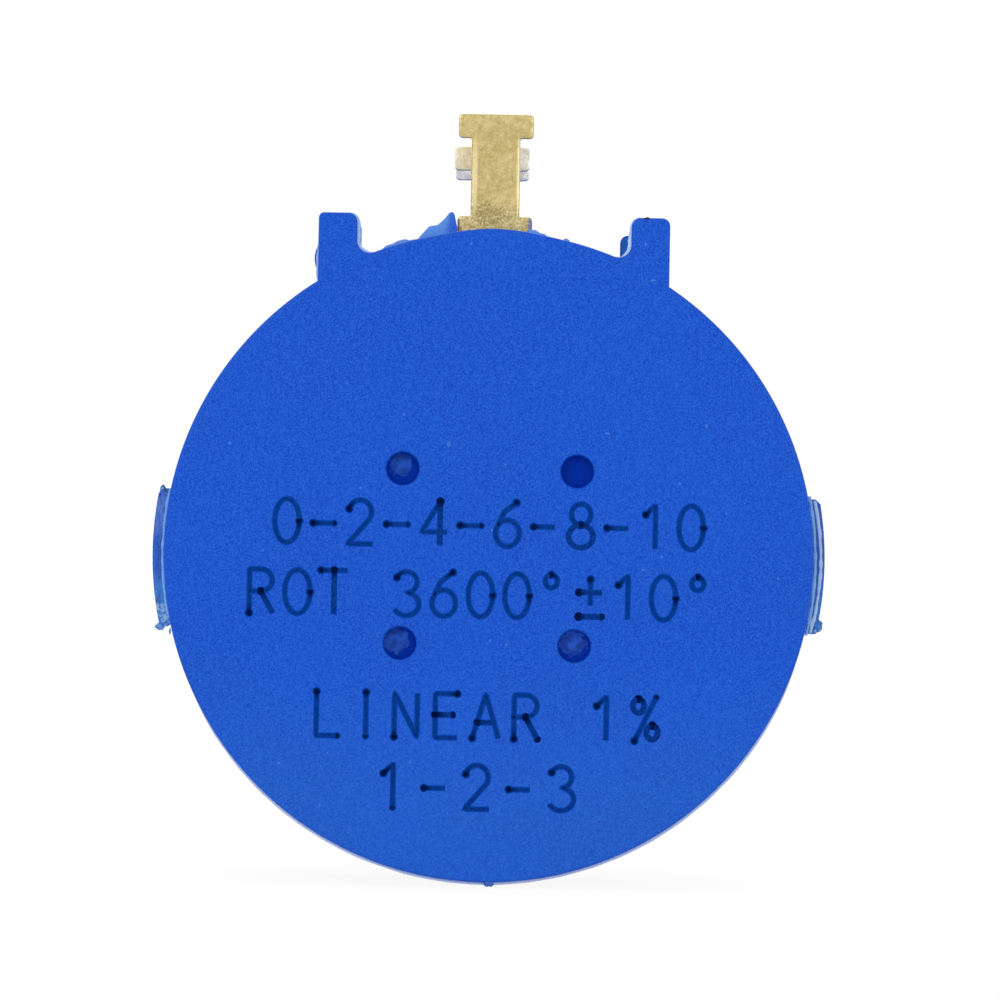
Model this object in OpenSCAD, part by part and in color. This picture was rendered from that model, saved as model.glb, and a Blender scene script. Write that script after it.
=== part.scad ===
// Ten-turn wirewound potentiometer: moulded housing, threaded bushing, shaft, helical element and wiper.
// +Y runs along the shaft from the rear face to the shaft's tip, +Z is up through the solder terminals,
// and the origin is on the shaft's axis at the mounting surface, which is the lid's front face.

/* [Housing] */
// Diameter of the round body
body_d = 22.2; // [18:0.1:30]
// Length of the body behind the mounting surface
body_len = 19.05; // [15:0.05:26]
// Thickness of the housing's side wall
side_wall = 1.3; // [1.1:0.05:1.8]
// Thickness of the housing's rear wall
rear_wall = 1.3; // [1.1:0.05:1.8]
// Edge break around the front and rear rims
rim_break = 0.2; // [0.1:0.05:0.4]
// Diameter of the four blind dimples in the rear face
dimple_d = 1.13; // [0.8:0.01:1.6]
// Spacing of the dimples, across and up
dimple_pitch = 5.96; // [4.8:0.02:8]
// Depth of the dimples
dimple_depth = 0.45; // [0.2:0.05:0.6]

/* [Guard ribs] */
// Distance between the centre lines of the two ribs beside the terminals
rib_pitch = 10.68; // [8.8:0.02:13]
// Thickness of a rib
rib_t = 1.32; // [0.9:0.02:1.7]
// Height of the ribs' tops above the body's surface
rib_rise = 0.58; // [0.3:0.02:1.2]
// Radius of the fillet between a rib's inner side and the body
rib_fillet = 0.3; // [0.15:0.05:0.5]

/* [Lid] */
// Thickness of the lid's rim
lid_t = 2.6; // [2.2:0.05:3.2]
// Thickness of the lid's web around the bushing
lid_web = 1.6; // [1.3:0.05:2]
// Depth of the lid's spigot inside the housing
spigot_len = 1.0; // [0.6:0.05:1.4]
// Radial clearance of the spigot in the housing
spigot_clearance = 0.05; // [0.02:0.01:0.1]
// Radius of the round lobes that close the ribs' front ends
lobe_r = 0.98; // [0.8:0.02:1.3]
// Distance of the anti-rotation lug from the shaft's axis
lug_pos = 7.9; // [7.2:0.05:9]
// Width of the anti-rotation lug
lug_w = 1.6; // [1.2:0.05:2.2]
// Thickness of the anti-rotation lug
lug_t = 0.8; // [0.6:0.05:1.2]
// Height of the anti-rotation lug above the mounting surface
lug_h = 1.0; // [0.6:0.05:1.6]

/* [Latches] */
// Width of a latch arm
latch_w = 5.0; // [4:0.1:6]
// Thickness of a latch arm
latch_t = 0.9; // [0.8:0.05:1.1]
// How far a latch arm stands out of the round body
latch_proud = 0.4; // [0.2:0.05:0.5]
// Clearance around a latch arm in its channel
latch_clearance = 0.05; // [0.03:0.01:0.1]
// Width of the window in a latch arm
window_w = 3.1; // [2.4:0.1:3.6]
// Length of the window in a latch arm
window_len = 2.6; // [2:0.1:3]

/* [Bushing and shaft] */
// Major diameter of the bushing's thread
bushing_d = 9.525; // [7.8:0.005:11.5]
// Length of the bushing in front of the mounting surface
bushing_len = 7.92; // [6.4:0.02:10]
// Diameter of the shaft
shaft_d = 6.35; // [5:0.01:7.7]
// Length of the shaft in front of the mounting surface
shaft_len = 20.62; // [16:0.02:26]
// Radial running clearance of the shaft's journals
journal_clearance = 0.03; // [0.01:0.01:0.06]
// Width of the screwdriver slot in the shaft's tip
slot_w = 1.2; // [0.8:0.05:1.6]
// Depth of the screwdriver slot
slot_depth = 1.2; // [0.8:0.05:1.8]
// Chamfer at the shaft's tip and at the bushing's mouth
tip_chamfer = 0.4; // [0.2:0.05:0.6]
// Diameter of the shaft's rear journal
rear_journal_d = 4.0; // [3:0.05:4.6]

/* [Resistance element] */
// Number of turns of the element, and of the shaft between its stops
turns = 10; // [5:1:10]
// Gap between neighbouring turns
turn_gap = 0.1; // [0.08:0.01:0.2]
// Radial gap between the element and the housing's bore
element_gap = 0.1; // [0.08:0.01:0.15]
// Length of element past each end of the wiper's travel, in degrees
spare_angle = 8; // [6:1:12]

/* [Terminals] */
// Width of a terminal's flanges
flange_w = 2.5; // [2:0.05:3]
// Height of a terminal's top flange
flange_h = 0.8; // [0.6:0.05:1]
// Width of a terminal's stem
stem_w = 1.66; // [1.3:0.02:2]
// Length from a terminal's top to its lower flange
notch_len = 3.5; // [3:0.05:4.2]
// Thickness of the terminals' sheet
terminal_t = 0.4; // [0.3:0.05:0.5]
// Height of the wiper terminal's top above the body
wiper_rise = 4.05; // [3.4:0.05:5]
// Height of the clockwise terminal's top above the body
cw_rise = 3.0; // [2.6:0.05:3.4]
// Height of the counter-clockwise terminal's top above the body
ccw_rise = 2.86; // [2.5:0.02:3.4]
// Distance of the clockwise terminal from the rear face
cw_inset = 4.65; // [4:0.05:6]

/* [Rotor] */
// Radial gap between the rotor's drum and the element
drum_gap = 1.2; // [1:0.05:1.4]
// Width of the drum's slot
drum_slot_w = 3.1; // [2.6:0.1:3.6]
// Side clearance of the carriage in the drum's slot
slide_clearance = 0.05; // [0.02:0.01:0.08]
// Thickness of the brass strips and springs
strip_t = 0.15; // [0.1:0.01:0.2]

/* [Hidden] */
$fn = 96;

housing_blue = [0.12, 0.35, 0.78];
nickel = [0.78, 0.77, 0.73];
steel = [0.72, 0.73, 0.75];
brass = [0.78, 0.66, 0.38];
tin = [0.82, 0.82, 0.8];
resistance_alloy = [0.55, 0.44, 0.34];
rotor_black = [0.13, 0.13, 0.14];
carriage_white = [0.86, 0.85, 0.8];

// A cut reaches this far past the face it opens
over = 1;
// Gap between faces that move past each other without bearing
free_gap = 0.1;
// Gap between a sliding contact's tip and its track
contact_gap = 0.05;

// Housing
body_r = body_d / 2;
rear_y = -body_len;
parting_y = -lid_t;
floor_y = rear_y + rear_wall;
bore_r = body_r - side_wall;
rib_x = rib_pitch / 2;
rib_top = body_r + rib_rise;
rib_root = body_r * 0.8;
rib_outer_round = 0.17;
rib_inner_round = 0.33;

// Lid
web_y = -lid_web;
spigot_y = parting_y - spigot_len;
spigot_r = bore_r - spigot_clearance;
lobe_rise = 0.62;
lobe_z = sqrt(body_r * body_r - rib_x * rib_x) + lobe_rise;
collar_depth = 0.2;
collar_gap = 0.24;
recess_margin = 0.4;

// Latches: the arm's end stops short of the rear rim, and the wedge's catch face holds the window
latch_out_r = body_r + latch_proud;
latch_in_r = latch_out_r - latch_t;
channel_r = latch_in_r - latch_clearance;
rear_rim_t = 1.15;
channel_y = rear_y + rear_rim_t;
latch_end_y = channel_y + latch_clearance;
latch_front_y = -0.5;
window_inset = 2.2;
catch_y = latch_end_y + window_inset;
wedge_play = 0.4;
wedge_len = window_len - wedge_play;
wedge_flat = 0.5;
wedge_sink = 0.15;
wedge_root = 0.4;

// Element: the turns fill the room between the spigot and the wiper terminal
end_gap = 0.3;
terminal_seat = 0.05;
wiper_strip_y = floor_y + terminal_seat;
wiper_face_y = wiper_strip_y + terminal_t;
element_front_y = spigot_y - end_gap;
element_rear_y = wiper_face_y + end_gap;
element_pitch = (element_front_y - element_rear_y + turn_gap) / (turns + 1);
element_d = element_pitch - turn_gap;
element_r = bore_r - element_gap - element_d / 2;
element_in_r = element_r - element_d / 2;
element_out_r = bore_r - element_gap;
travel = turns * element_pitch;
first_y = element_front_y - element_d / 2;
last_y = first_y - travel;
element_sides = 8;
steps_per_turn = 30;

// Terminals and the clips that join the element's ends to them
cw_y = rear_y + cw_inset;
slot_clearance = 0.03;
strap_sink = 0.07;
strap_t = 0.18;
strap_in_r = bore_r + strap_sink;
strap_out_r = strap_in_r + strap_t;
strap_room_r = strap_out_r + slot_clearance;
strap_half_w = 0.4;
strap_angle = 5;
strap_room_angle = spare_angle + 2;
solder_gap = 0.01;
terminal_round = 0.14;
clip_gap = 0.05;
clip_in_r = element_d / 2 + clip_gap;
clip_out_r = clip_in_r + strip_t;
clip_half_angle = 60;
clip_sweep = 5;

// Bushing
bushing_r = bushing_d / 2;
hub_step = 0.84;
hub_r = bushing_r + hub_step;
hub_y = -0.6;
neck_step = 0.36;
neck_r = bushing_r - neck_step;
neck_front_y = 0.3;
bushing_bore_r = shaft_d / 2 + journal_clearance;

// Shaft, from the rear: journal, drum seat, ring groove, front journal, relief, free end
shaft_r = shaft_d / 2;
seat_step = 0.175;
seat_r = shaft_r - seat_step;
groove_depth = 0.3;
groove_r = seat_r - groove_depth;
rear_journal_r = rear_journal_d / 2;
relief_depth = 0.28;
relief_r = shaft_r - relief_depth;
relief_front_y = bushing_len - free_gap;
relief_len = 0.7;
journal_sink = 0.6;
journal_end_y = floor_y - journal_sink;

// Rear bearing boss, with the slip ring on its platform
boss_rise = 0.4;
boss_y = wiper_face_y + boss_rise;
boss_step = 0.55;
boss_r = seat_r + boss_step;
ring_gap = 0.05;
ring_w = 1.8;
ring_t = 0.35;
ring_in_r = boss_r + ring_gap;
ring_out_r = ring_in_r + ring_w;
ring_face_y = wiper_face_y + ring_t;
platform_edge = 0.2;
platform_r = ring_out_r + platform_edge;

// Washers behind the bushing
washer_t = 0.2;
washer_w = 1.6;
washer_play = 0.05;
washer_front_y = web_y - washer_play;
washer_rear_y = washer_front_y - washer_t;
retainer_t = 0.45;
retainer_front_y = washer_rear_y - washer_play;
retainer_rear_y = retainer_front_y - retainer_t;
washer_out_r = seat_r + washer_w;
groove_play = 0.03;

// Rotor drum
drum_r = element_in_r - drum_gap;
drum_front_y = retainer_rear_y - washer_play;
brush_room = 0.65;
drum_rear_y = ring_face_y + brush_room;
drum_wall = 1.6;
slot_floor_r = seat_r + drum_wall;
rail_t = 0.2;
rail_w = 1.2;
brush_rear_y = drum_rear_y - strip_t;

// Carriage, in its place at the counter-clockwise stop, under the element's first turn
carriage_w = drum_slot_w - 2 * slide_clearance;
carriage_gap = 0.4;
carriage_top_r = element_in_r - carriage_gap;
rail_gap = 0.3;
carriage_base_r = slot_floor_r + rail_t + rail_gap;
carriage_len = 2.3;
carriage_front_y = first_y + carriage_len;
rear_room = element_d / 2 + end_gap;
ring_clearance = 0.15;
carriage_rear_y = first_y - rear_room + ring_t + ring_clearance;
tail_rear_y = first_y - rear_room + free_gap;
tail_gap = 0.3;
tail_base_r = platform_r + tail_gap;
finger_w = 0.7;
finger_inset = 0.15;
finger_x = carriage_w / 2 - finger_w / 2 - finger_inset;
tooth_gap = 0.2;
tooth_w = 2 * (finger_x - finger_w / 2 - tooth_gap);
tooth_share = 0.23;
tooth_depth = element_d * tooth_share;
tooth_root = 0.13;
tooth_tip = 0.05;

// End stops, which the carriage meets only on its last turn
stop_clearance = 0.15;
stop_in_r = drum_r + stop_clearance;
stop_out_r = element_in_r - stop_clearance;
stop_gap = 0.05;
stop_w = 1.45;
stop_bite = 0.65;
front_stop_y = carriage_front_y - stop_bite;
rear_stop_y = tail_rear_y - travel + stop_bite;

// A solid turned about the shaft's axis from [radius, y] points; angle 0 is the top, towards +X
module turned(points, from = 0, sweep = 360) {
    rotate([-90, 0, 0])
        rotate([0, 0, from - 90])
            rotate_extrude(angle = sweep) polygon(points);
}

// A ring about the shaft's axis between two radii and two places along it
module ring(in_r, out_r, rear, front, from = 0, sweep = 360) {
    turned([[in_r, rear], [out_r, rear], [out_r, front], [in_r, front]], from, sweep);
}

// A rod on the shaft's axis
module rod(r, rear, front) {
    translate([0, rear, 0]) rotate([-90, 0, 0]) cylinder(r = r, h = front - rear);
}

// A box given by its lowest and highest corners
module block(low, high) {
    translate(low) cube(high - low);
}

// Sheet with an outline drawn across and up, from its front face rearwards
module sheet(front, t) {
    translate([0, front, 0]) rotate([90, 0, 0]) linear_extrude(t) children();
}

// Bar with an outline drawn along and up, centred on the middle plane
module bar(w) {
    rotate([90, 0, 90]) linear_extrude(w, center = true) children();
}

// Rectangle with its two top corners rounded by their own radii
module top_rounded(left, right, bottom, top, left_round, right_round) {
    deeper = max(left_round, right_round);
    translate([left, bottom]) square([right - left, top - deeper - bottom]);
    translate([left + left_round, bottom]) square([right - left - left_round - right_round, top - bottom]);
    translate([left, bottom]) square([(right - left) / 2, top - left_round - bottom]);
    translate([(left + right) / 2, bottom]) square([(right - left) / 2, top - right_round - bottom]);
    translate([left + left_round, top - left_round]) circle(left_round);
    translate([right - right_round, top - right_round]) circle(right_round);
}

// Guard rib on the +X side, with the fillet at the root of its inner side, which bites a little into
// the body so that their surfaces cross
module rib_outline() {
    bite = 0.02;
    inner_x = rib_x - rib_t / 2;
    fillet_x = inner_x - rib_fillet;
    fillet_z = sqrt(pow(body_r + rib_fillet - bite, 2) - fillet_x * fillet_x);
    sunk = (body_r - rib_fillet) / (body_r + rib_fillet);
    top_rounded(inner_x, rib_x + rib_t / 2, rib_root, rib_top, rib_inner_round, rib_outer_round);
    difference() {
        polygon([
            [fillet_x, fillet_z], [inner_x, fillet_z], [rib_x, fillet_z - rib_fillet],
            [inner_x, fillet_z - 3 * rib_fillet], [fillet_x * sunk, fillet_z * sunk]
        ]);
        translate([fillet_x, fillet_z]) circle(rib_fillet);
    }
}

// Both sides of the body, the second mirrored from the +X one
module both_sides() {
    children();
    mirror([1, 0, 0]) children();
}

// The housing's wedge that catches a latch window, on the +X side
module latch_wedge() {
    top_x = latch_out_r - wedge_sink;
    root_x = bore_r + wedge_root;
    linear_extrude(window_w - 2 * latch_clearance, center = true)
        polygon([
            [root_x, catch_y], [top_x, catch_y], [top_x, catch_y + wedge_flat],
            [channel_r, catch_y + wedge_len], [root_x, catch_y + wedge_len]
        ]);
}

// Channel in the housing's side that a latch arm lies in, on the +X side
module latch_channel() {
    half = latch_w / 2 + latch_clearance;
    difference() {
        block([channel_r - over, channel_y, -half], [latch_out_r + over, parting_y + over, half]);
        rod(channel_r, rear_y - over, parting_y + 2 * over);
    }
}

// Stop that stands in the carriage's way, on one side of the terminals' plane
module end_stop(side, rear, front) {
    near = carriage_w / 2 + stop_gap;
    intersection() {
        ring(stop_in_r, stop_out_r, rear, front);
        block(
            [side > 0 ? near : -near - stop_w, rear, 0],
            [side > 0 ? near + stop_w : -near, front, body_r]
        );
    }
}

// Slot through the housing's wall for a terminal with a stem and a wider foot
module terminal_slot(front, flange_top) {
    foot = flange_w / 2 + slot_clearance;
    stem = stem_w / 2 + slot_clearance;
    rear = front - terminal_t - 2 * slot_clearance;
    block([-foot, rear, element_r], [foot, front, flange_top + slot_clearance]);
    block([-stem, rear, element_r], [stem, front, body_r + over]);
}

// Moulded cup with guard ribs, latch wedges, rear bearing boss, rear stop and terminal slots
module rear_housing() {
    color(housing_blue)
        difference() {
            union() {
                difference() {
                    union() {
                        turned([
                            [0, rear_y], [body_r - rim_break, rear_y], [body_r, rear_y + rim_break],
                            [body_r, parting_y], [0, parting_y]
                        ]);
                        both_sides() sheet(parting_y, body_len - lid_t) rib_outline();
                    }
                    rod(bore_r, floor_y, parting_y + over);
                    both_sides() latch_channel();
                }
                both_sides() latch_wedge();
                rod(platform_r, floor_y, wiper_face_y);
                rod(boss_r, floor_y, boss_y);
                end_stop(-1, floor_y, rear_stop_y);
            }
            rod(rear_journal_r + journal_clearance, journal_end_y - free_gap, boss_y + over);
            for (x = [-1, 1], z = [-1, 1])
                translate([x * dimple_pitch / 2, 0, z * dimple_pitch / 2])
                    rod(dimple_d / 2, rear_y - over, rear_y + dimple_depth);
            terminal_slot(first_y + terminal_t / 2 + slot_clearance, body_r + ccw_rise - notch_len);
            terminal_slot(cw_y + terminal_t / 2 + slot_clearance, body_r + cw_rise - notch_len);
            block(
                [-flange_w / 2 - slot_clearance, floor_y, boss_r],
                [flange_w / 2 + slot_clearance, wiper_face_y, body_r + over]
            );
            ring(
                bore_r - over / 2, strap_room_r, first_y - element_d / 2, spigot_y,
                -strap_room_angle, 2 * strap_room_angle
            );
            ring(
                bore_r - over / 2, strap_room_r, last_y - element_d / 2 - free_gap, cw_y + terminal_t,
                -strap_room_angle, 2 * strap_room_angle
            );
        }
}

// Latch arm on the +X side, lying along the housing, with its window
module latch_arm() {
    half = latch_w / 2;
    lead = 0.25;
    difference() {
        intersection() {
            turned([
                [latch_in_r, latch_end_y], [latch_out_r - lead, latch_end_y],
                [latch_out_r, latch_end_y + lead], [latch_out_r, latch_front_y - latch_proud],
                [body_r, latch_front_y], [latch_in_r, latch_front_y]
            ]);
            block([0, latch_end_y, -half], [latch_out_r + over, 0, half]);
        }
        block(
            [latch_in_r - over, catch_y - latch_clearance, -window_w / 2],
            [latch_out_r + over, catch_y - latch_clearance + window_len, window_w / 2]
        );
    }
}

// Moulded lid with spigot, latch arms, rib lobes, anti-rotation lug and front stop
module front_lid() {
    recess_r = element_in_r + recess_margin;
    color(housing_blue) {
        difference() {
            union() {
                turned([
                    [0, spigot_y], [spigot_r, spigot_y], [spigot_r, parting_y], [body_r, parting_y],
                    [body_r, -rim_break], [body_r - rim_break, 0], [0, 0]
                ]);
                both_sides() {
                    sheet(-rim_break, lid_t - rim_break) translate([rib_x, lobe_z]) circle(lobe_r);
                    latch_arm();
                }
                block(
                    [-lug_w / 2, -rim_break, lug_pos - lug_t / 2],
                    [lug_w / 2, lug_h, lug_pos + lug_t / 2]
                );
            }
            rod(recess_r, spigot_y - over, web_y);
            rod(hub_r, web_y - over, hub_y);
            rod(neck_r, hub_y - over, over);
            rod(bushing_r + collar_gap, -collar_depth, over);
        }
        end_stop(1, front_stop_y, web_y);
    }
}

// Turned bushing: threaded barrel, undercut, and the hub that the lid is moulded round
module bushing() {
    mouth = 0.25;
    color(nickel)
        turned([
            [bushing_bore_r, web_y], [hub_r, web_y], [hub_r, hub_y], [neck_r, hub_y],
            [neck_r, neck_front_y], [bushing_r, neck_front_y],
            [bushing_r, bushing_len - tip_chamfer], [bushing_r - tip_chamfer, bushing_len],
            [bushing_bore_r + mouth, bushing_len], [bushing_bore_r, bushing_len - mouth]
        ]);
}

// Point of the element's surface: a step along the helix and a place around its section
function element_point(i, n, j) =
    let (
        turn = spare_angle - i * (360 * turns + 2 * spare_angle) / n,
        around = 360 * (j + 0.5) / element_sides,
        r = element_r + element_d / 2 * cos(around)
    )
    [r * sin(turn), first_y + element_pitch * turn / 360 + element_d / 2 * sin(around), r * cos(turn)];

// Resistance wire wound on an insulated mandrel, coiled into a right-handed helix
module resistance_element() {
    n = ceil(steps_per_turn * (turns + spare_angle / 180));
    m = element_sides;
    points = [for (i = [0 : n], j = [0 : m - 1]) element_point(i, n, j)];
    sides = [
        for (i = [0 : n - 1], j = [0 : m - 1])
            let (a = i * m + j, b = i * m + (j + 1) % m)
            each [[a, b, a + m], [b, b + m, a + m]]
    ];
    ends = [
        for (j = [1 : m - 2])
            each [[0, j + 1, j], [n * m, n * m + j, n * m + j + 1]]
    ];
    color(resistance_alloy) polyhedron(points, concat(sides, ends));
}

// Notched solder lug: top flange, stem and lower flange, whose foot ends at a given height
module lug_outline(top, foot) {
    waist = top - notch_len;
    r = terminal_round;
    top_rounded(-flange_w / 2, flange_w / 2, top - flange_h, top, r, r);
    translate([-stem_w / 2, foot]) square([stem_w, top - foot - flange_h / 2]);
    top_rounded(-flange_w / 2, flange_w / 2, foot, waist, r, r);
}

// Tinned terminal of the element's front end
module ccw_terminal() {
    color(tin)
        sheet(first_y + terminal_t / 2, terminal_t)
            lug_outline(body_r + ccw_rise, strap_out_r + solder_gap);
}

// Tinned terminal of the element's rear end
module cw_terminal() {
    color(tin)
        sheet(cw_y + terminal_t / 2, terminal_t)
            lug_outline(body_r + cw_rise, strap_out_r + solder_gap);
}

// Brass terminal of the wiper, with the strip that runs down the rear wall to the slip ring
module wiper_terminal() {
    foot_len = 0.8;
    color(brass)
        sheet(wiper_face_y, terminal_t) {
            lug_outline(body_r + wiper_rise, bore_r - foot_len);
            translate([-stem_w / 2, boss_r + slot_clearance])
                square([stem_w, bore_r - boss_r - slot_clearance]);
        }
}

// Saddle round the outside of the element's end, from one angle over a short sweep
module saddle(y, from) {
    far = 2 * clip_out_r;
    rotate([-90, 0, 0])
        rotate([0, 0, from - 90])
            rotate_extrude(angle = clip_sweep)
                translate([element_r, y])
                    intersection() {
                        difference() {
                            circle(clip_out_r);
                            circle(clip_in_r);
                        }
                        polygon([
                            [0, 0], [far * cos(clip_half_angle), -far * sin(clip_half_angle)],
                            [far, -far], [far, far],
                            [far * cos(clip_half_angle), far * sin(clip_half_angle)]
                        ]);
                    }
}

// Clip that joins the element's front end to its terminal
module ccw_end_clip() {
    end_y = first_y + element_pitch * (spare_angle - clip_sweep / 2) / 360;
    color(nickel) {
        saddle(end_y, spare_angle - clip_sweep);
        ring(
            strap_in_r, strap_out_r, first_y - strap_half_w, first_y + strap_half_w,
            -strap_angle, strap_angle + spare_angle
        );
    }
}

// Clip that joins the element's rear end to its terminal by a strap along the wall
module cw_end_clip() {
    end_y = last_y - element_pitch * (spare_angle - clip_sweep / 2) / 360;
    color(nickel) {
        saddle(end_y, -spare_angle);
        ring(
            strap_in_r, strap_out_r, last_y - strap_half_w, cw_y + terminal_t,
            -spare_angle, strap_angle + spare_angle
        );
    }
}

// Ring on the rear wall's platform that the rotor's brush runs on
module slip_ring() {
    color(brass) ring(ring_in_r, ring_out_r, wiper_face_y, ring_face_y);
}

// Turned shaft with its journals, drum seat, ring groove, relief and screwdriver slot
module shaft() {
    color(steel)
        difference() {
            turned([
                [0, journal_end_y], [rear_journal_r, journal_end_y], [rear_journal_r, boss_y + free_gap],
                [seat_r, boss_y + free_gap], [seat_r, retainer_rear_y - groove_play],
                [groove_r, retainer_rear_y - groove_play], [groove_r, retainer_front_y + groove_play],
                [shaft_r, retainer_front_y + groove_play], [shaft_r, relief_front_y - relief_len],
                [relief_r, relief_front_y - relief_len], [relief_r, relief_front_y],
                [shaft_r, relief_front_y], [shaft_r, shaft_len - tip_chamfer],
                [shaft_r - tip_chamfer, shaft_len], [0, shaft_len]
            ]);
            block(
                [-shaft_r - over, shaft_len - slot_depth, -slot_w / 2],
                [shaft_r + over, shaft_len + over, slot_w / 2]
            );
        }
}

// Moulded drum on the shaft, with the slot that turns the carriage
module rotor_drum() {
    color(rotor_black)
        difference() {
            ring(seat_r, drum_r, drum_rear_y, drum_front_y);
            block(
                [-drum_slot_w / 2, drum_rear_y - over, slot_floor_r],
                [drum_slot_w / 2, drum_front_y + over, drum_r + over]
            );
        }
}

// Split ring in the shaft's groove, which holds the shaft in the bushing
module retaining_ring() {
    split = 40;
    color(steel)
        ring(groove_r, washer_out_r, retainer_rear_y, retainer_front_y, 180 + split / 2, 360 - split);
}

// Flat washer between the retaining ring and the bushing
module thrust_washer() {
    color(brass) ring(shaft_r + washer_play, washer_out_r, washer_rear_y, washer_front_y);
}

// Track along the floor of the drum's slot
module collector_rail() {
    color(brass)
        block([-rail_w / 2, brush_rear_y, slot_floor_r], [rail_w / 2, drum_front_y, slot_floor_r + rail_t]);
}

// Spring plate on the drum's rear face, with two fingers that run on the slip ring
module ring_brush() {
    tip_y = ring_face_y + contact_gap;
    reach = 1.6;
    root_len = 0.5;
    arm_w = 0.8;
    mid_r = (ring_in_r + ring_out_r) / 2;
    color(brass) {
        difference() {
            ring(seat_r + free_gap, ring_out_r - free_gap, brush_rear_y, drum_rear_y);
            block(
                [-drum_slot_w / 2 - free_gap, brush_rear_y - over, slot_floor_r],
                [drum_slot_w / 2 + free_gap, drum_rear_y + over, ring_out_r + over]
            );
        }
        both_sides()
            translate([mid_r, 0, 0])
                bar(arm_w)
                    polygon([
                        [brush_rear_y, -reach], [brush_rear_y, root_len - reach],
                        [tip_y + strip_t, reach], [tip_y, reach]
                    ]);
    }
}

// Moulded carriage with its guide teeth, which follow the valleys between the element's turns
module wiper_carriage() {
    tooth_base = 0.2;
    color(carriage_white) {
        bar(carriage_w)
            polygon([
                [tail_rear_y, tail_base_r], [carriage_rear_y, tail_base_r],
                [carriage_rear_y, carriage_base_r], [carriage_front_y, carriage_base_r],
                [carriage_front_y, carriage_top_r], [tail_rear_y, carriage_top_r]
            ]);
        for (side = [-1, 1])
            bar(tooth_w)
                translate([first_y + side * element_pitch / 2, carriage_top_r])
                    polygon([
                        [-tooth_root, -tooth_base], [tooth_root, -tooth_base], [tooth_root, 0],
                        [tooth_tip, carriage_gap + tooth_depth], [-tooth_tip, carriage_gap + tooth_depth],
                        [-tooth_root, 0]
                    ]);
    }
}

// Forked spring on the carriage, with a finger on each side of the teeth that touches the element
module coil_contact() {
    tip_r = 0.15;
    tip_lift = 0.05;
    end_inset = 0.05;
    finger_len = carriage_len / 2 - end_inset;
    fork_y = first_y + finger_len;
    half = finger_x + finger_w / 2;
    top = carriage_top_r + strip_t;
    color(brass) {
        block([-half, fork_y, carriage_top_r], [half, fork_y + finger_len, top]);
        both_sides()
            translate([finger_x, 0, 0])
                bar(finger_w) {
                    translate([first_y, carriage_top_r]) square([finger_len, strip_t]);
                    intersection() {
                        translate([first_y, carriage_top_r + tip_lift]) circle(tip_r);
                        translate([first_y - tip_r, carriage_top_r]) square(2 * tip_r);
                    }
                }
    }
}

// Spring under the carriage, whose bow runs on the collector rail
module rail_brush() {
    bow_r = slot_floor_r + rail_t + contact_gap;
    foot_r = carriage_base_r - strip_t;
    mid_y = (carriage_front_y + carriage_rear_y) / 2;
    bow_half = 0.2;
    strip_half = 0.9;
    color(brass)
        bar(rail_w - 2 * free_gap)
            polygon([
                [mid_y - strip_half, carriage_base_r], [mid_y - strip_half, foot_r],
                [mid_y - bow_half, bow_r], [mid_y + bow_half, bow_r],
                [mid_y + strip_half, foot_r], [mid_y + strip_half, carriage_base_r]
            ]);
}

rear_housing();
front_lid();
bushing();
resistance_element();
ccw_terminal();
cw_terminal();
wiper_terminal();
ccw_end_clip();
cw_end_clip();
slip_ring();
shaft();
rotor_drum();
retaining_ring();
thrust_washer();
collector_rail();
ring_brush();
wiper_carriage();
coil_contact();
rail_brush();
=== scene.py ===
"""Looks of a ten-turn wirewound potentiometer: moulded, stamped, turned and wound pieces in a plain studio.

Pieces are built in millimetres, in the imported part's own frame, and scaled to metres when they are finished.
Angles are in degrees and run from +Z towards +X.
"""

import logging
import math
from contextlib import contextmanager
from dataclasses import dataclass
from enum import Enum
from functools import partialmethod
from typing import Any, Callable, Iterable, Iterator, Optional, Sequence, Union

import bmesh
import bpy
from bpy.types import Curve, Material, Mesh, Node, NodeSocket, NodeTree, Object
from mathutils import Matrix, Vector, noise

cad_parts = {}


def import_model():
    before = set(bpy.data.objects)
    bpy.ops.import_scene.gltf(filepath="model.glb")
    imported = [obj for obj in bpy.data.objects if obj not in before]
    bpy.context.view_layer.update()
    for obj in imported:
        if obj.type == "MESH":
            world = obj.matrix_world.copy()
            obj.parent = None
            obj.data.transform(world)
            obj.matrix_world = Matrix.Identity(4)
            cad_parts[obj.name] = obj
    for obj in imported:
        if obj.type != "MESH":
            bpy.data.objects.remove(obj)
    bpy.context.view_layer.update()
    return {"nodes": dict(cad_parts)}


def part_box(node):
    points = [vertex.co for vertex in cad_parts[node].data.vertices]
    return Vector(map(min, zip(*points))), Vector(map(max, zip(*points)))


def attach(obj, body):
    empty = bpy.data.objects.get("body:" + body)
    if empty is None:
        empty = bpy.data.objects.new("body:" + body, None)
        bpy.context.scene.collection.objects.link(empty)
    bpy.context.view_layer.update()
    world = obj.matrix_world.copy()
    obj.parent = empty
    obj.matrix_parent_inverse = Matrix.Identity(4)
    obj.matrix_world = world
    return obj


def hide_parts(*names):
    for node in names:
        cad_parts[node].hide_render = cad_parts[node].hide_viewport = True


MM = 0.001
LOG = logging.getLogger("potentiometer")

Colour = tuple[float, float, float]
Point = tuple[float, float]
Path = Sequence[Point]


# --- node trees


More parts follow.
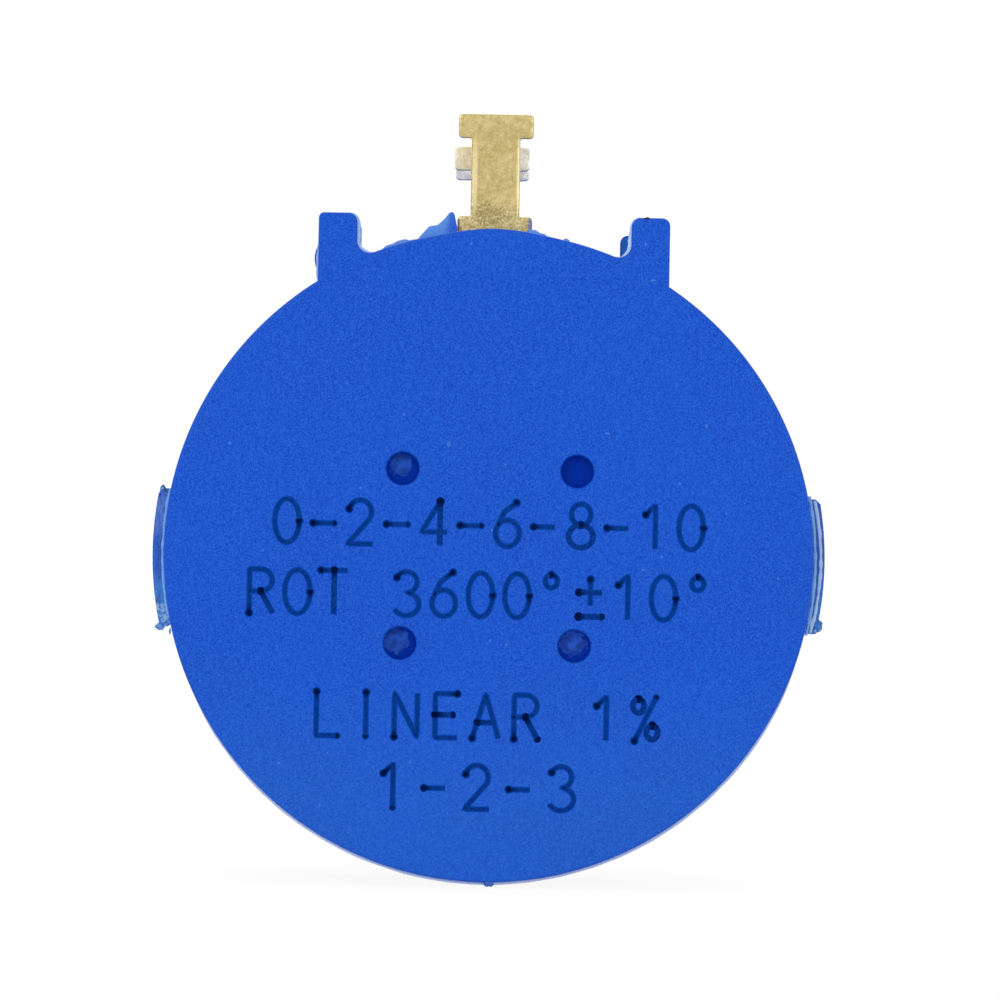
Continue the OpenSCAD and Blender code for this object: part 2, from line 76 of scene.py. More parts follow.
@dataclass(frozen=True)
class Term:
    """A node's output that adds, subtracts, multiplies and divides as a plain number does."""

    graph: "Graph"
    socket: NodeSocket

    def step(self, operation: str, other: "Number") -> "Term":
        """One arithmetic step with a number or another term."""
        return self.graph.math(operation, self, other)

    def __rsub__(self, other: float) -> "Term":
        """Takes this term away from a number."""
        return self.graph.math("SUBTRACT", other, self)

    __add__ = __radd__ = partialmethod(step, "ADD")
    __sub__ = partialmethod(step, "SUBTRACT")
    __mul__ = __rmul__ = partialmethod(step, "MULTIPLY")
    __truediv__ = partialmethod(step, "DIVIDE")


Number = Union[float, Term]
Inputs = Optional[dict[Union[int, str], Any]]


class Graph:
    """A node tree under construction."""

    def __init__(self, tree: NodeTree) -> None:
        """Starts from an emptied tree."""
        self.tree = tree
        tree.nodes.clear()

    def node(self, kind: str, inputs: Inputs = None, **settings: Any) -> Node:
        """Adds a node.

        Args:
            kind: The node's type name.
            inputs: A plain value or a term for each input, by name or by place.
            settings: The node's own properties.

        Returns:
            The new node.
        """
        node = self.tree.nodes.new(kind)
        for name, value in settings.items():
            setattr(node, name, value)
        for key, value in (inputs or {}).items():
            if isinstance(value, Term):
                self.tree.links.new(value.socket, node.inputs[key])
            else:
                node.inputs[key].default_value = value
        return node

    def term(self, kind: str, inputs: Inputs = None, output: Union[int, str] = 0, **settings: Any) -> Term:
        """Adds a shader node, named by its kind alone, and returns one of its outputs."""
        return Term(self, self.node("ShaderNode" + kind, inputs, **settings).outputs[output])

    def math(self, operation: str, *values: Number) -> Term:
        """One arithmetic step on numbers and terms."""
        return self.term("Math", dict(enumerate(values)), operation=operation)

    def diagonal(self, across: Term, up: Term) -> Term:
        """The length of two parts that are square to each other."""
        return self.math("SQRT", across * across + up * up)

    def vector(self, x: Number, y: Number, z: Number) -> Term:
        """A vector from its three parts."""
        return self.term("CombineXYZ", {0: x, 1: y, 2: z})

    def map(self, value: Number, low: float, high: float, to_low: float = 0.0, to_high: float = 1.0) -> Term:
        """Maps a value from one range to another, smoothly and without passing its ends."""
        places = {"Value": value, "From Min": low, "From Max": high, "To Min": to_low, "To Max": to_high}
        return self.term("MapRange", places, interpolation_type="SMOOTHSTEP")


class Shape(Graph):
    """A Geometry Nodes tree whose sizes are named inputs."""

    def __init__(self, tree: NodeTree, sizes: Iterable[str]) -> None:
        """Starts a tree.

        Args:
            tree: The tree, which is emptied.
            sizes: The names of its inputs.
        """
        super().__init__(tree)
        add = tree.interface.new_socket
        for way in ("INPUT", "OUTPUT"):
            add("Geometry", in_out=way, socket_type="NodeSocketGeometry")
        self.sockets = {name: add(name, in_out="INPUT", socket_type="NodeSocketFloat") for name in sizes}
        entry = self.node("NodeGroupInput")
        self.seed = Term(self, entry.outputs["Geometry"])
        self.sizes = {name: Term(self, entry.outputs[name]) for name in sizes}

    def step(self, kind: str, inputs: Inputs = None, output: Union[int, str] = 0, **settings: Any) -> Term:
        """Adds a geometry node, named by its kind alone, and returns one of its outputs."""
        return Term(self, self.node("GeometryNode" + kind, inputs, **settings).outputs[output])

    def joined(self, *parts: Term) -> Term:
        """Joins geometries.

        Args:
            parts: The geometries.

        Returns:
            All of them as one.
        """
        join = self.node("GeometryNodeJoinGeometry")
        for part in parts:
            self.tree.links.new(part.socket, join.inputs[0])
        return Term(self, join.outputs[0])


class Surface(Graph):
    """A material's tree, with textures sized in millimetres on the piece's own coordinates."""

    def __init__(self, tree: NodeTree) -> None:
        """Starts from an emptied tree with the piece's coordinates, in millimetres.

        Args:
            tree: The tree.
        """
        super().__init__(tree)
        metres = self.term("TexCoord", output="Object")
        self.place = self.term("Mapping", {"Vector": metres, "Scale": (1 / MM,) * 3})

    def along(self, axis: str) -> Term:
        """The place along one axis, in millimetres."""
        return self.term("SeparateXYZ", {0: self.place}, output=axis)

    def stretched(self, stretch: Colour) -> Term:
        """The piece's coordinates with each axis multiplied by its own factor."""
        return self.term("Mapping", {"Vector": self.place, "Scale": stretch})

    def noise(
        self, size: float, detail: float = 2.0, rough: float = 0.5, place: Optional[Term] = None
    ) -> Term:
        """Noise from 0 to 1, with spots of a size in millimetres and finer layers of some strength."""
        inputs = {"Vector": place or self.place, "Scale": 1 / size, "Detail": detail, "Roughness": rough}
        return self.term("TexNoise", inputs)

    def spread(self, cloud: Term, to_low: float = 0.0, to_high: float = 1.0) -> Term:
        """Spreads the middle of a noise, where most of its values lie, over a whole range."""
        return self.map(cloud, 0.3, 0.7, to_low, to_high)

    def blend(self, share: Number, first: Union[Colour, Term], second: Union[Colour, Term]) -> Term:
        """Mixes two colours: 0 gives the first, and 1 the second."""
        one, other = (colour if isinstance(colour, Term) else (*colour, 1.0) for colour in (first, second))
        return self.term("Mix", {0: share, 6: one, 7: other}, output=2, data_type="RGBA")

    def bump(self, height: Term, depth: float, under: Optional[Term] = None) -> Term:
        """Turns a height, of which 1 is a depth in millimetres, into a normal on top of a coarser one."""
        inputs = {"Strength": 1.0, "Distance": depth * MM, "Height": height}
        return self.term("Bump", {**inputs, "Normal": under} if under else inputs)


# --- finishes


def shade(colour: Colour, factor: float) -> Colour:
    """A colour made lighter or darker by a factor, with no part above 1."""
    return tuple(min(1.0, part * factor) for part in colour)


def tones(colour: Colour, contrast: float, drift: Colour = (0.0, 0.0, 0.0)) -> list[Colour]:
    """The dark and the light tone of a colour, apart by a share of it and by a drift besides."""
    return [
        tuple(min(1.0, max(0.0, part + side * (part * contrast + more))) for part, more in zip(colour, drift))
        for side in (-1, 1)
    ]


@dataclass(frozen=True)
class Finish:
    """What every finish has: a name, a colour, a roughness, the record's slot, a gloss and a sheen."""

    name: str
    colour: Colour
    roughness: float = 0.5
    slot: str = "housing_plastic"
    metallic: float = 0.0
    specular: float = 0.5
    sheen: float = 0.0
    sheen_roughness: float = 0.25
    sheen_tint: Colour = (0.16, 0.55, 1.0)

    def dress(self, tree: Surface) -> dict[str, Term]:
        """Gives a term for each of the shader's inputs that vary over the tree."""
        raise NotImplementedError

    def material(self) -> Material:
        """Builds the material once.

        Returns:
            The material, the same one each time.
        """
        known = bpy.data.materials.get(self.name)
        if known:
            return known
        material = bpy.data.materials.new(self.name)
        material.use_nodes = True
        tree = Surface(material.node_tree)
        fixed = {
            "Roughness": self.roughness,
            "Metallic": self.metallic,
            "Specular IOR Level": self.specular,
            "Sheen Weight": self.sheen,
            "Sheen Roughness": self.sheen_roughness,
            "Sheen Tint": (*self.sheen_tint, 1.0),
        }
        shader = tree.term("BsdfPrincipled", {**fixed, **self.dress(tree)})
        tree.node("ShaderNodeOutputMaterial", {"Surface": shader})
        return material


@dataclass(frozen=True)
class MouldedPlastic(Finish):
    """Moulded plastic: fine grain, faint flow clouds, a few pale specks, painted light that lifts its lower
    part, and sides smoother than the face.
    """

    grain_size: float = 0.045
    grain_contrast: float = 0.11
    grain_tone: Colour = (0.0, 0.0, 0.0)
    grain_depth: float = 0.003
    grain_gloss: Point = (-0.06, 0.08)
    cloud_size: float = 3.5
    cloud_lift: float = 1.5
    cloud_share: float = 0.1
    cloud_depth: float = 0.05
    speck_size: float = 0.22
    speck_band: Point = (0.88, 0.91)
    speck: Colour = (0.14, 0.32, 0.8)
    speck_share: float = 0.35
    # Painted light: a pale cyan blended in towards -Z, lifting the lower part of the face where the floor
    # shades it
    haze: Colour = (0.17, 0.68, 1.0)
    low_light_z: Point = (-2.0, -10.0)
    low_light_share: float = 0.0
    smoothing: float = 0.0
    face_y: float = -19.05
    face_fade: Point = (0.02, 0.14)

    def dress(self, tree: Surface) -> dict[str, Term]:
        """Gives the colour, the roughness and the grain.

        Args:
            tree: The material's tree.

        Returns:
            The shader's inputs.
        """
        grain = tree.noise(self.grain_size, 2.0, 0.6)
        cloud = tree.noise(self.cloud_size, 3.0, 0.55)
        speck = tree.map(tree.noise(self.speck_size, 0.0), *self.speck_band)
        colour = tree.blend(tree.spread(grain), *tones(self.colour, self.grain_contrast, self.grain_tone))
        clouded = tree.map(cloud, 0.35, 0.7, 0.0, self.cloud_share)
        colour = tree.blend(clouded, colour, shade(self.colour, self.cloud_lift))
        colour = tree.blend(speck * self.speck_share, colour, self.speck)
        # Painted light on the lower part
        colour = tree.blend(tree.map(tree.along("Z"), *self.low_light_z) * self.low_light_share, colour, self.haze)
        side = tree.map(tree.along("Y"), *(self.face_y + depth for depth in self.face_fade))
        rough = tree.spread(grain, *(self.roughness + change for change in self.grain_gloss))
        return {
            "Base Color": colour,
            "Roughness": rough - side * self.smoothing,
            "Normal": tree.bump(grain * (1.0 - side), self.grain_depth, tree.bump(cloud, self.cloud_depth)),
        }


@dataclass(frozen=True)
class SliverPlastic(Finish):
    """A sliver of plastic that turns paler towards -X, where it thins out."""

    thin: Colour = (0.12, 0.33, 0.8)
    thick_x: float = -1.45
    thin_x: float = -1.8
    stray: float = 0.5
    grain_share: float = 0.16

    def dress(self, tree: Surface) -> dict[str, Term]:
        """Gives the colour.

        Args:
            tree: The material's tree.

        Returns:
            The shader's inputs.
        """
        uneven = tree.noise(0.25, 3.0, 0.6)
        thinness = tree.map(tree.along("X") + (uneven - 0.5) * self.stray, self.thick_x, self.thin_x)
        colour = tree.blend(thinness, self.colour, self.thin)
        grain = tree.map(tree.noise(0.06), 0.35, 0.7)
        return {"Base Color": tree.blend(grain * self.grain_share, colour, shade(self.thin, 1.3))}


@dataclass(frozen=True)
class DimpleShade(Finish):
    """Painted shade in a dimple: a dark lining, with a paler rubbed patch on its floor, off its middle."""

    patch: Colour = (0.022, 0.09, 0.48)
    patch_tones: Point = (0.68, 1.35)
    patch_r: float = 0.36
    patch_shift: float = 0.09
    spread: float = 2.98
    clean_reach: float = 4.4
    rag_depth: float = 0.03

    def dress(self, tree: Surface) -> dict[str, Term]:
        """Gives the colour, the roughness and the rubbed patch, which the dimple at +X and +Z lacks.

        Args:
            tree: The material's tree.

        Returns:
            The shader's inputs.
        """
        x, z = tree.along("X"), tree.along("Z")
        off_x = x - tree.math("SIGN", x) * self.spread + self.patch_shift
        off_z = z - tree.math("SIGN", z) * self.spread - self.patch_shift
        reach = tree.diagonal(off_x, off_z)
        ragged = tree.noise(0.22, 4.0, 0.7)
        mottle = tree.noise(0.3, 2.0, 0.5)
        uneven = tree.noise(2.6, 0.0)
        edge = reach + (ragged - 0.5) * 0.7 + (uneven - 0.5) * 0.5
        soiled = tree.map(x + z, self.clean_reach + 0.5, self.clean_reach)
        rubbed = tree.map(edge, self.patch_r + 0.05, self.patch_r - 0.06) * soiled
        floor = tree.blend(tree.spread(mottle), *(shade(self.patch, factor) for factor in self.patch_tones))
        return {
            "Base Color": tree.blend(rubbed, self.colour, floor),
            "Roughness": tree.map(rubbed, 0.0, 1.0, self.roughness, self.roughness + 0.25),
            "Normal": tree.bump(ragged, self.rag_depth),
        }


@dataclass(frozen=True)
class TornPlastic(Finish):
    """Torn plastic whose colour drifts along Z: a tip, a strained stretch, a dark one and a foot."""

    tip: Colour = (0.013, 0.114, 0.305)
    strained: Colour = (0.1, 0.235, 0.72)
    foot: Colour = (0.05, 0.26, 0.74)
    pale: Colour = (0.45, 0.66, 0.88)
    tip_z: float = 2.0
    strained_z: float = 0.7
    foot_z: float = -1.0
    fleck_z: float = -1.75
    blur: float = 0.4
    stray: float = 0.7
    streak_size: float = 0.16
    streak_stretch: Colour = (1.6, 1.0, 0.35)
    streak_share: float = 0.6
    grain_share: float = 0.13
    fleck_share: float = 0.85
    fleck_depth: float = 0.03

    def dress(self, tree: Surface) -> dict[str, Term]:
        """Gives the colour and the flecks.

        Args:
            tree: The material's tree.

        Returns:
            The shader's inputs.
        """
        streak = tree.noise(self.streak_size, 3.0, 0.65, tree.stretched(self.streak_stretch))
        fleck = tree.noise(self.streak_size * 0.8, 3.0, 0.7)
        level = tree.along("Z") + (tree.noise(0.5, 3.0, 0.6) - 0.5) * self.stray
        colour = self.colour
        for from_z, to_z, next_colour in (
            (self.strained_z - self.blur, self.strained_z + self.blur, self.strained),
            (self.tip_z - 0.05, self.tip_z + 0.1, self.tip),
            (self.foot_z + self.blur, self.foot_z - self.blur, self.foot),
        ):
            colour = tree.blend(tree.map(level, from_z, to_z), colour, next_colour)
        streaked = tree.map(streak, 0.55, 0.3) * self.streak_share
        colour = tree.blend(streaked, colour, shade(self.colour, 0.5))
        grain = tree.map(tree.noise(0.055, 2.0, 0.6), 0.35, 0.7)
        colour = tree.blend(grain * self.grain_share, colour, self.pale)
        frayed = tree.map(level, self.tip_z - 0.1, self.tip_z + 0.1, 0.0, 0.14)
        torn = tree.map(level, self.fleck_z + 0.25, self.fleck_z - 0.1, 0.0, 0.2)
        flecked = tree.map(fleck + torn + frayed, 0.7, 0.77) * self.fleck_share
        return {
            "Base Color": tree.blend(flecked, colour, self.pale),
            "Normal": tree.bump(fleck, self.fleck_depth),
        }


@dataclass(frozen=True)
class Patch:
    """A stain, a rubbed place, a painted highlight or a painted shade: its colour, its middle across and up,
    its half sizes and its strength.
    """

    colour: Colour
    place: Point
    size: Point
    share: float
    ragged: float = 1.0


@dataclass(frozen=True)
class SheetMetal(Finish):
    """Rolled and stamped sheet: rolling lines, mottling, patches of stain, wear, painted highlight and painted
    shade, and tarnish towards the foot.
    """

    metallic: float = 1.0
    tarnish: Colour = (0.3, 0.25, 0.1)
    tarnish_share: float = 0.5
    tarnish_rough: float = 0.14
    mottle_size: float = 0.3
    mottle_depth: float = 0.012
    foot_z: float = 11.6
    foot_height: float = 1.6
    foot_wear: float = 1.6
    contrast: float = 0.1
    blue_drift: float = 0.0
    speckle: float = 0.1
    glint: Colour = (1.0, 0.95, 0.8)
    roll_size: float = 0.05
    roll_stretch: Colour = (1.0, 1.0, 0.12)
    roll_depth: float = 0.004
    patches: tuple[Patch, ...] = ()

    def dress(self, tree: Surface) -> dict[str, Term]:
        """Gives the colour, the roughness and the rolling lines.

        Args:
            tree: The material's tree.

        Returns:
            The shader's inputs.
        """
        mottle = tree.noise(self.mottle_size, 4.0, 0.65)
        speckle = tree.noise(0.075, 2.0, 0.6)
        rolled = tree.noise(self.roll_size, 2.0, 0.5, tree.stretched(self.roll_stretch))
        foot = tree.map(tree.along("Z"), self.foot_z + self.foot_height, self.foot_z)
        patch = tree.map(tree.noise(self.mottle_size * 1.7, 3.0, 0.6) + foot * 0.08, 0.52, 0.72)
        dark, light = tones(self.colour, self.contrast, (0.0, 0.0, self.blue_drift))
        colour = tree.blend(tree.spread(mottle), dark, light)
        colour = tree.blend(patch * self.tarnish_share, colour, self.tarnish)
        # Each patch is a stain, a rubbed place, a painted highlight or a painted shade
        for one in self.patches:
            off_x, off_z = (
                (tree.along(axis) - middle) / half for axis, middle, half in zip("XZ", one.place, one.size)
            )
            reach = tree.diagonal(off_x, off_z) + (speckle + mottle - 1.0) * one.ragged
            colour = tree.blend(tree.map(reach, 1.2, 0.4) * one.share, colour, one.colour)
        worn = (foot * self.foot_wear + 1.0) * self.speckle
        colour = tree.blend(tree.map(speckle, 0.55, 0.25) * worn * 2.3, colour, shade(self.colour, 0.4))
        colour = tree.blend(tree.map(speckle, 0.45, 0.75) * worn * 1.5, colour, self.glint)
        return {
            "Base Color": colour,
            "Roughness": tree.map(patch, 0.0, 1.0, self.roughness, self.roughness + self.tarnish_rough),
            "Normal": tree.bump(rolled, self.roll_depth, tree.bump(mottle, self.mottle_depth)),
        }


@dataclass(frozen=True)
class TurnedMetal(Finish):
    """Bar stock cut on a lathe: rings of fine tool marks round the shaft's axis, and a soft haze."""

    metallic: float = 1.0
    ring_pitch: float = 0.045
    ring_depth: float = 0.002
    ring_shade: float = 0.86
    haze_size: float = 1.6
    haze_gloss: Point = (-0.05, 0.09)

    def dress(self, tree: Surface) -> dict[str, Term]:
        """Gives the colour, the roughness and the tool marks.

        Args:
            tree: The material's tree.

        Returns:
            The shader's inputs.
        """
        radius = tree.diagonal(tree.along("X"), tree.along("Z"))
        place = tree.vector(radius / self.ring_pitch, tree.along("Y") / self.ring_pitch, 0.0)
        marks = tree.noise(1.0, 3.0, 0.5, place)
        haze = tree.noise(self.haze_size, 4.0, 0.6)
        gloss = (self.roughness + change for change in self.haze_gloss)
        return {
            "Base Color": tree.blend(tree.spread(marks), shade(self.colour, self.ring_shade), self.colour),
            "Roughness": tree.map(haze, 0.35, 0.7, *gloss),
            "Normal": tree.bump(marks, self.ring_depth),
        }


@dataclass(frozen=True)
class MarkingInk(Finish):
    """Dark ink from a pen: black where the pen dwelt, and thin further on and at the strokes' edges."""

    thin: Colour = (0.003, 0.038, 0.24)
    thin_tones: Point = (0.7, 1.35)
    under: Colour = (0.004, 0.078, 0.5)
    face_y: float = -19.05
    height: float = 0.012
    dwell_name: str = "dwell"

    def dress(self, tree: Surface) -> dict[str, Term]:
        """Gives the colour.

        Args:
            tree: The material's tree.

        Returns:
            The shader's inputs.
        """
        dwell = tree.term("Attribute", output="Fac", attribute_name=self.dwell_name)
        patchy = tree.noise(0.12, 3.0, 0.6)
        broad = tree.noise(1.3, 1.0)
        wet = tree.map(dwell + (patchy - 0.5) * 0.7 + (broad - 0.5) * 0.9, 0.05, 1.0)
        grain = tree.noise(0.07, 2.0, 0.6)
        thin = tree.blend(tree.spread(grain), *(shade(self.thin, factor) for factor in self.thin_tones))
        inked = tree.blend(wet, thin, self.colour)
        depth = self.face_y - tree.along("Y")
        cover = tree.map(depth + (grain - 0.5) * self.height * 0.5, self.height * 0.2, self.height)
        return {"Base Color": tree.blend(cover, self.under, inked)}


HOUSING_BLUE = MouldedPlastic(
    "housing_blue", (0.002, 0.093, 0.605), 0.36, specular=0.12, sheen=0.75, grain_contrast=0.0,
    grain_tone=(0.016, 0.042, 0.085), smoothing=0.05, low_light_share=0.045,
)
THIN_BLUE = MouldedPlastic("thin_blue", (0.16, 0.34, 0.8), 0.4, specular=0.3)
STRAINED_BLUE = MouldedPlastic(
    "strained_blue", (0.27, 0.53, 1.0), 0.4, specular=0.2, sheen=0.5, grain_contrast=0.2
)
# Lighter teal painted over the shade on the lobe at +X
LOBE_PAINTED_LIGHT = MouldedPlastic("lobe_painted_light_teal", (0.035, 0.23, 0.6), 0.4, specular=0.2)
# Pale blue of the bloomed line and the gate's flash, and of the painted highlights beside the ear at +X and on
# the lobe at -X
BLOOM_AND_HIGHLIGHT_BLUE = MouldedPlastic("bloom_and_highlight_blue", (0.5, 0.69, 1.0), 0.4, specular=0.3)
# Pale blue of the painted highlights beside the ear at -X
EAR_HIGHLIGHT_BLUE = MouldedPlastic("ear_highlight_blue", (0.33, 0.5, 0.86), 0.4, specular=0.3)
GATE_BLUE = MouldedPlastic("gate_blue", (0.05, 0.15, 0.53), 0.4, specular=0.2)
# Pale colour of the painted highlight along the lower edge of the rear face
RIM_HIGHLIGHT_BLUE = MouldedPlastic("rim_painted_highlight", (0.6, 0.71, 1.0), 0.4, specular=0.3)
# Dark grey for the spot in the ear's nick
NICK_DARK = MouldedPlastic("nick_dark", (0.03, 0.035, 0.04), 0.6, specular=0.1)
SLIVER_BLUE = SliverPlastic("sliver_blue", (0.026, 0.13, 0.66), 0.45, specular=0.2)
LEFT_TEAR = TornPlastic("left_tear", (0.016, 0.13, 0.62), 0.5, specular=0.2)
RIGHT_TEAR = TornPlastic(
    "right_tear", (0.026, 0.12, 0.54), 0.5, specular=0.2, strained=(0.05, 0.16, 0.55),
    foot=(0.04, 0.22, 0.64), tip_z=3.0, foot_z=-0.7, fleck_z=-2.3,
)
# Dark blue painted into the dimples for the shade that falls in them
DIMPLE_SHADE_BLUE = DimpleShade("dimple_painted_shade", (0.0003, 0.034, 0.4), 0.4, specular=0.02)
INK = MarkingInk("marking_ink", (0.0004, 0.006, 0.05), 0.7, specular=0.0)
ROTOR_BLACK = MouldedPlastic("rotor_black", (0.012, 0.012, 0.013), 0.5, "rotor_plastic", specular=0.4)
CARRIAGE_WHITE = MouldedPlastic(
    "carriage_white", (0.68, 0.65, 0.57), 0.45, "carriage_plastic", grain_contrast=0.05
)
# Pale brass of the painted highlights along the rolled edges of the wiper terminal's stem
EDGE_HIGHLIGHT_BRASS = (0.86, 0.72, 0.42)
BARE_BRASS = SheetMetal(
    "mottled_brass", (0.57, 0.455, 0.19), 0.34, "bare_brass", tarnish_share=0.28, mottle_size=0.24,
    contrast=0.17, blue_drift=0.025, foot_height=0.9, patches=(
        Patch((0.27, 0.21, 0.05), (-0.2, 11.72), (0.6, 0.42), 0.6, 1.6),
        # Painted highlight on the stem's left rolled edge, and a painted shade line just inside it
        Patch(EDGE_HIGHLIGHT_BRASS, (-0.7, 13.05), (0.09, 1.5), 0.75, 0.5),
        Patch((0.4, 0.3, 0.12), (-0.56, 13.05), (0.03, 1.4), 0.3, 0.8),
        # Painted highlight on the stem's right edge
        Patch(EDGE_HIGHLIGHT_BRASS, (0.76, 13.05), (0.06, 1.5), 0.5, 0.5),
        # Painted shade with a painted blue reflection of the housing at the right end of the lower flange
        Patch((0.08, 0.09, 0.32), (1.22, 11.3), (0.1, 0.5), 0.85, 0.4),
    ),
)
TINNED_BRASS = SheetMetal(
    "solder_tin", (0.79, 0.76, 0.67), 0.4, "tinned_brass", tarnish=(0.5, 0.46, 0.33),
    patches=(Patch((0.82, 0.68, 0.36), (-1.1, 13.9), (0.4, 0.9), 0.55),),
)
NO_FOOT = -90.0
STREAKED_TIN = SheetMetal(
    "streaked_tin", (0.76, 0.74, 0.68), 0.36, "tinned_brass", tarnish=(0.3, 0.29, 0.27), tarnish_share=0.55,
    mottle_size=0.24, contrast=0.2, foot_z=NO_FOOT,
)
INNER_BRASS = SheetMetal(
    "inner_brass", (0.66, 0.5, 0.22), 0.3, "bare_brass", tarnish_share=0.2, foot_z=NO_FOOT
)
SPRING_STEEL = SheetMetal(
    "sprung_steel", (0.36, 0.36, 0.37), 0.34, "spring_steel", tarnish=(0.2, 0.19, 0.2), foot_z=NO_FOOT
)
CONTACT_ALLOY = SheetMetal(
    "sprung_alloy", (0.66, 0.56, 0.38), 0.26, "contact_alloy", tarnish=(0.4, 0.34, 0.24), foot_z=NO_FOOT
)
CLIP_NICKEL = SheetMetal(
    "clip_nickel", (0.6, 0.58, 0.53), 0.3, "nickel_plate", tarnish=(0.4, 0.38, 0.33), foot_z=NO_FOOT
)
RESISTANCE_WIRE = SheetMetal(
    "wound_wire", (0.36, 0.28, 0.21), 0.34, "resistance_wire", tarnish=(0.2, 0.14, 0.1), foot_z=NO_FOOT
)
NICKEL_PLATE = TurnedMetal("bright_nickel", (0.62, 0.6, 0.55), 0.3, "nickel_plate")
SHAFT_STEEL = TurnedMetal("turned_steel", (0.56, 0.56, 0.57), 0.27, "shaft_steel", ring_depth=0.003)


# --- mesh building

BEYOND = 1  # How far a cutting solid reaches past what it cuts


class Joining(Enum):
    """How one solid acts on another."""

    CUT = "DIFFERENCE"
    JOIN = "UNION"
    KEEP = "INTERSECT"


@dataclass(frozen=True)
class Box:
    """Lowest and highest corner of something, in millimetres."""

    low: Vector
    high: Vector

    @classmethod
    def of(cls, node: str) -> "Box":
        """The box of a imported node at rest."""
        low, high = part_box(node)
        return cls(low / MM, high / MM)


def around(radius: float, angle: float, centre: Point = (0.0, 0.0)) -> Point:
    """A point at an angle round a centre."""
    turn = math.radians(angle)
    return centre[0] + radius * math.sin(turn), centre[1] + radius * math.cos(turn)


def arc(radius: float, start: float, end: float, steps: int, centre: Point = (0.0, 0.0)) -> list[Point]:
    """Points along an arc, both ends included."""
    return [around(radius, start + (end - start) * i / steps, centre) for i in range(steps + 1)]


def rectangle(left: float, right: float, bottom: float, top: float) -> list[Point]:
    """A rectangle's corners, clockwise from its lower left one."""
    return [(left, bottom), (left, top), (right, top), (right, bottom)]


def stray(x: float, y: float, z: float) -> float:
    """Smooth noise from -1 to 1."""
    return noise.noise(Vector((x, y, z)))


def height(stops: Path, place: float) -> float:
    """Reads a row of stops at a place, straight from each to the next.

    Args:
        stops: The stops, as (place, height).
        place: Where to read.

    Returns:
        The height there.
    """
    for (low, first), (high, second) in zip(stops, stops[1:]):
        if place <= high:
            return first + (second - first) * (place - low) / (high - low)
    return stops[-1][1]


def walked(path: Path, steps: int) -> list[tuple[float, Vector, Vector]]:
    """Walks an open, clockwise path in even steps.

    Args:
        path: The path's points.
        steps: How many steps are taken.

    Returns:
        For each stop, the share of the way, the place and the outward direction there.
    """
    points = [Vector(point) for point in path]
    reached = [0.0]
    for before, after in zip(points, points[1:]):
        reached.append(reached[-1] + (after - before).length)
    stops, leg = [], 0
    for i in range(steps + 1):
        way = reached[-1] * i / steps
        while leg < len(points) - 2 and way > reached[leg + 1]:
            leg += 1
        along = (points[leg + 1] - points[leg]).normalized()
        place = points[leg] + along * (way - reached[leg])
        stops.append((i / steps, place, Vector((-along.y, along.x))))
    return stops


def inset(outline: Path, depth: float) -> list[Point]:
    """Moves a clockwise outline inwards, square to its sides.

    Args:
        outline: The outline's points across and up.
        depth: How far in.

    Returns:
        As many points, moved.
    """
    least_share = 0.3
    moved = []
    for i, here in enumerate(outline):
        before, after = outline[i - 1], outline[(i + 1) % len(outline)]
        normals = []
        for a, b in ((before, here), (here, after)):
            along = Vector((b[0] - a[0], b[1] - a[1])).normalized()
            normals.append(Vector((along.y, -along.x)))
        mean = (normals[0] + normals[1]).normalized()
        reach = depth / max(least_share, mean.dot(normals[0]))
        moved.append((here[0] + mean.x * reach, here[1] + mean.y * reach))
    return moved


def eased(corners: Path, radius: Union[float, Sequence[float]], steps: int = 4) -> list[Point]:
    """Rounds the corners of a closed outline.

    Args:
        corners: The outline's corners.
        radius: One radius for them all, or one for each, where 0 leaves a corner as it is.
        steps: How many segments a rounded corner has.

    Returns:
        The rounded outline.
    """
    radii = [radius] * len(corners) if isinstance(radius, float) else radius
    straight = math.radians(89)
    outline = []
    for i, (corner, size) in enumerate(zip(corners, radii)):
        here = Vector(corner)
        back = (Vector(corners[i - 1]) - here).normalized()
        on = (Vector(corners[(i + 1) % len(corners)]) - here).normalized()
        half = back.angle(on) / 2
        if not size or half > straight:
            outline.append(tuple(corner))
            continue
        centre = here + (back + on).normalized() * (size / math.sin(half))
        start, end = (here + side * (size / math.tan(half)) - centre for side in (back, on))
        outline += [tuple(centre + start.slerp(end, step / steps) * size) for step in range(steps + 1)]
    return outline


def placed(name: str, data: bpy.types.ID) -> Object:
    """Puts data into the scene.

    Args:
        name: The object's name.
        data: Its mesh, curve, light or camera.

    Returns:
        The object, at the origin.
    """
    item = bpy.data.objects.new(name, data)
    bpy.context.scene.collection.objects.link(item)
    return item


def settled(holder: Object) -> Mesh:
    """Turns an object with its modifiers into a plain mesh.

    Args:
        holder: The object, which is removed.

    Returns:
        The mesh.
    """
    bpy.context.view_layer.update()
    depsgraph = bpy.context.evaluated_depsgraph_get()
    evaluated = holder.evaluated_get(depsgraph)
    mesh = bpy.data.meshes.new_from_object(evaluated, preserve_all_data_layers=True, depsgraph=depsgraph)
    bpy.data.objects.remove(holder)
    return mesh


@contextmanager
def editing(mesh: Mesh) -> Iterator[bmesh.types.BMesh]:
    """Opens a mesh for editing, and writes it back afterwards.

    Args:
        mesh: The mesh.

    Yields:
        Its editable form.
    """
    work = bmesh.new()
    work.from_mesh(mesh)
    yield work
    work.to_mesh(mesh)
    work.free()


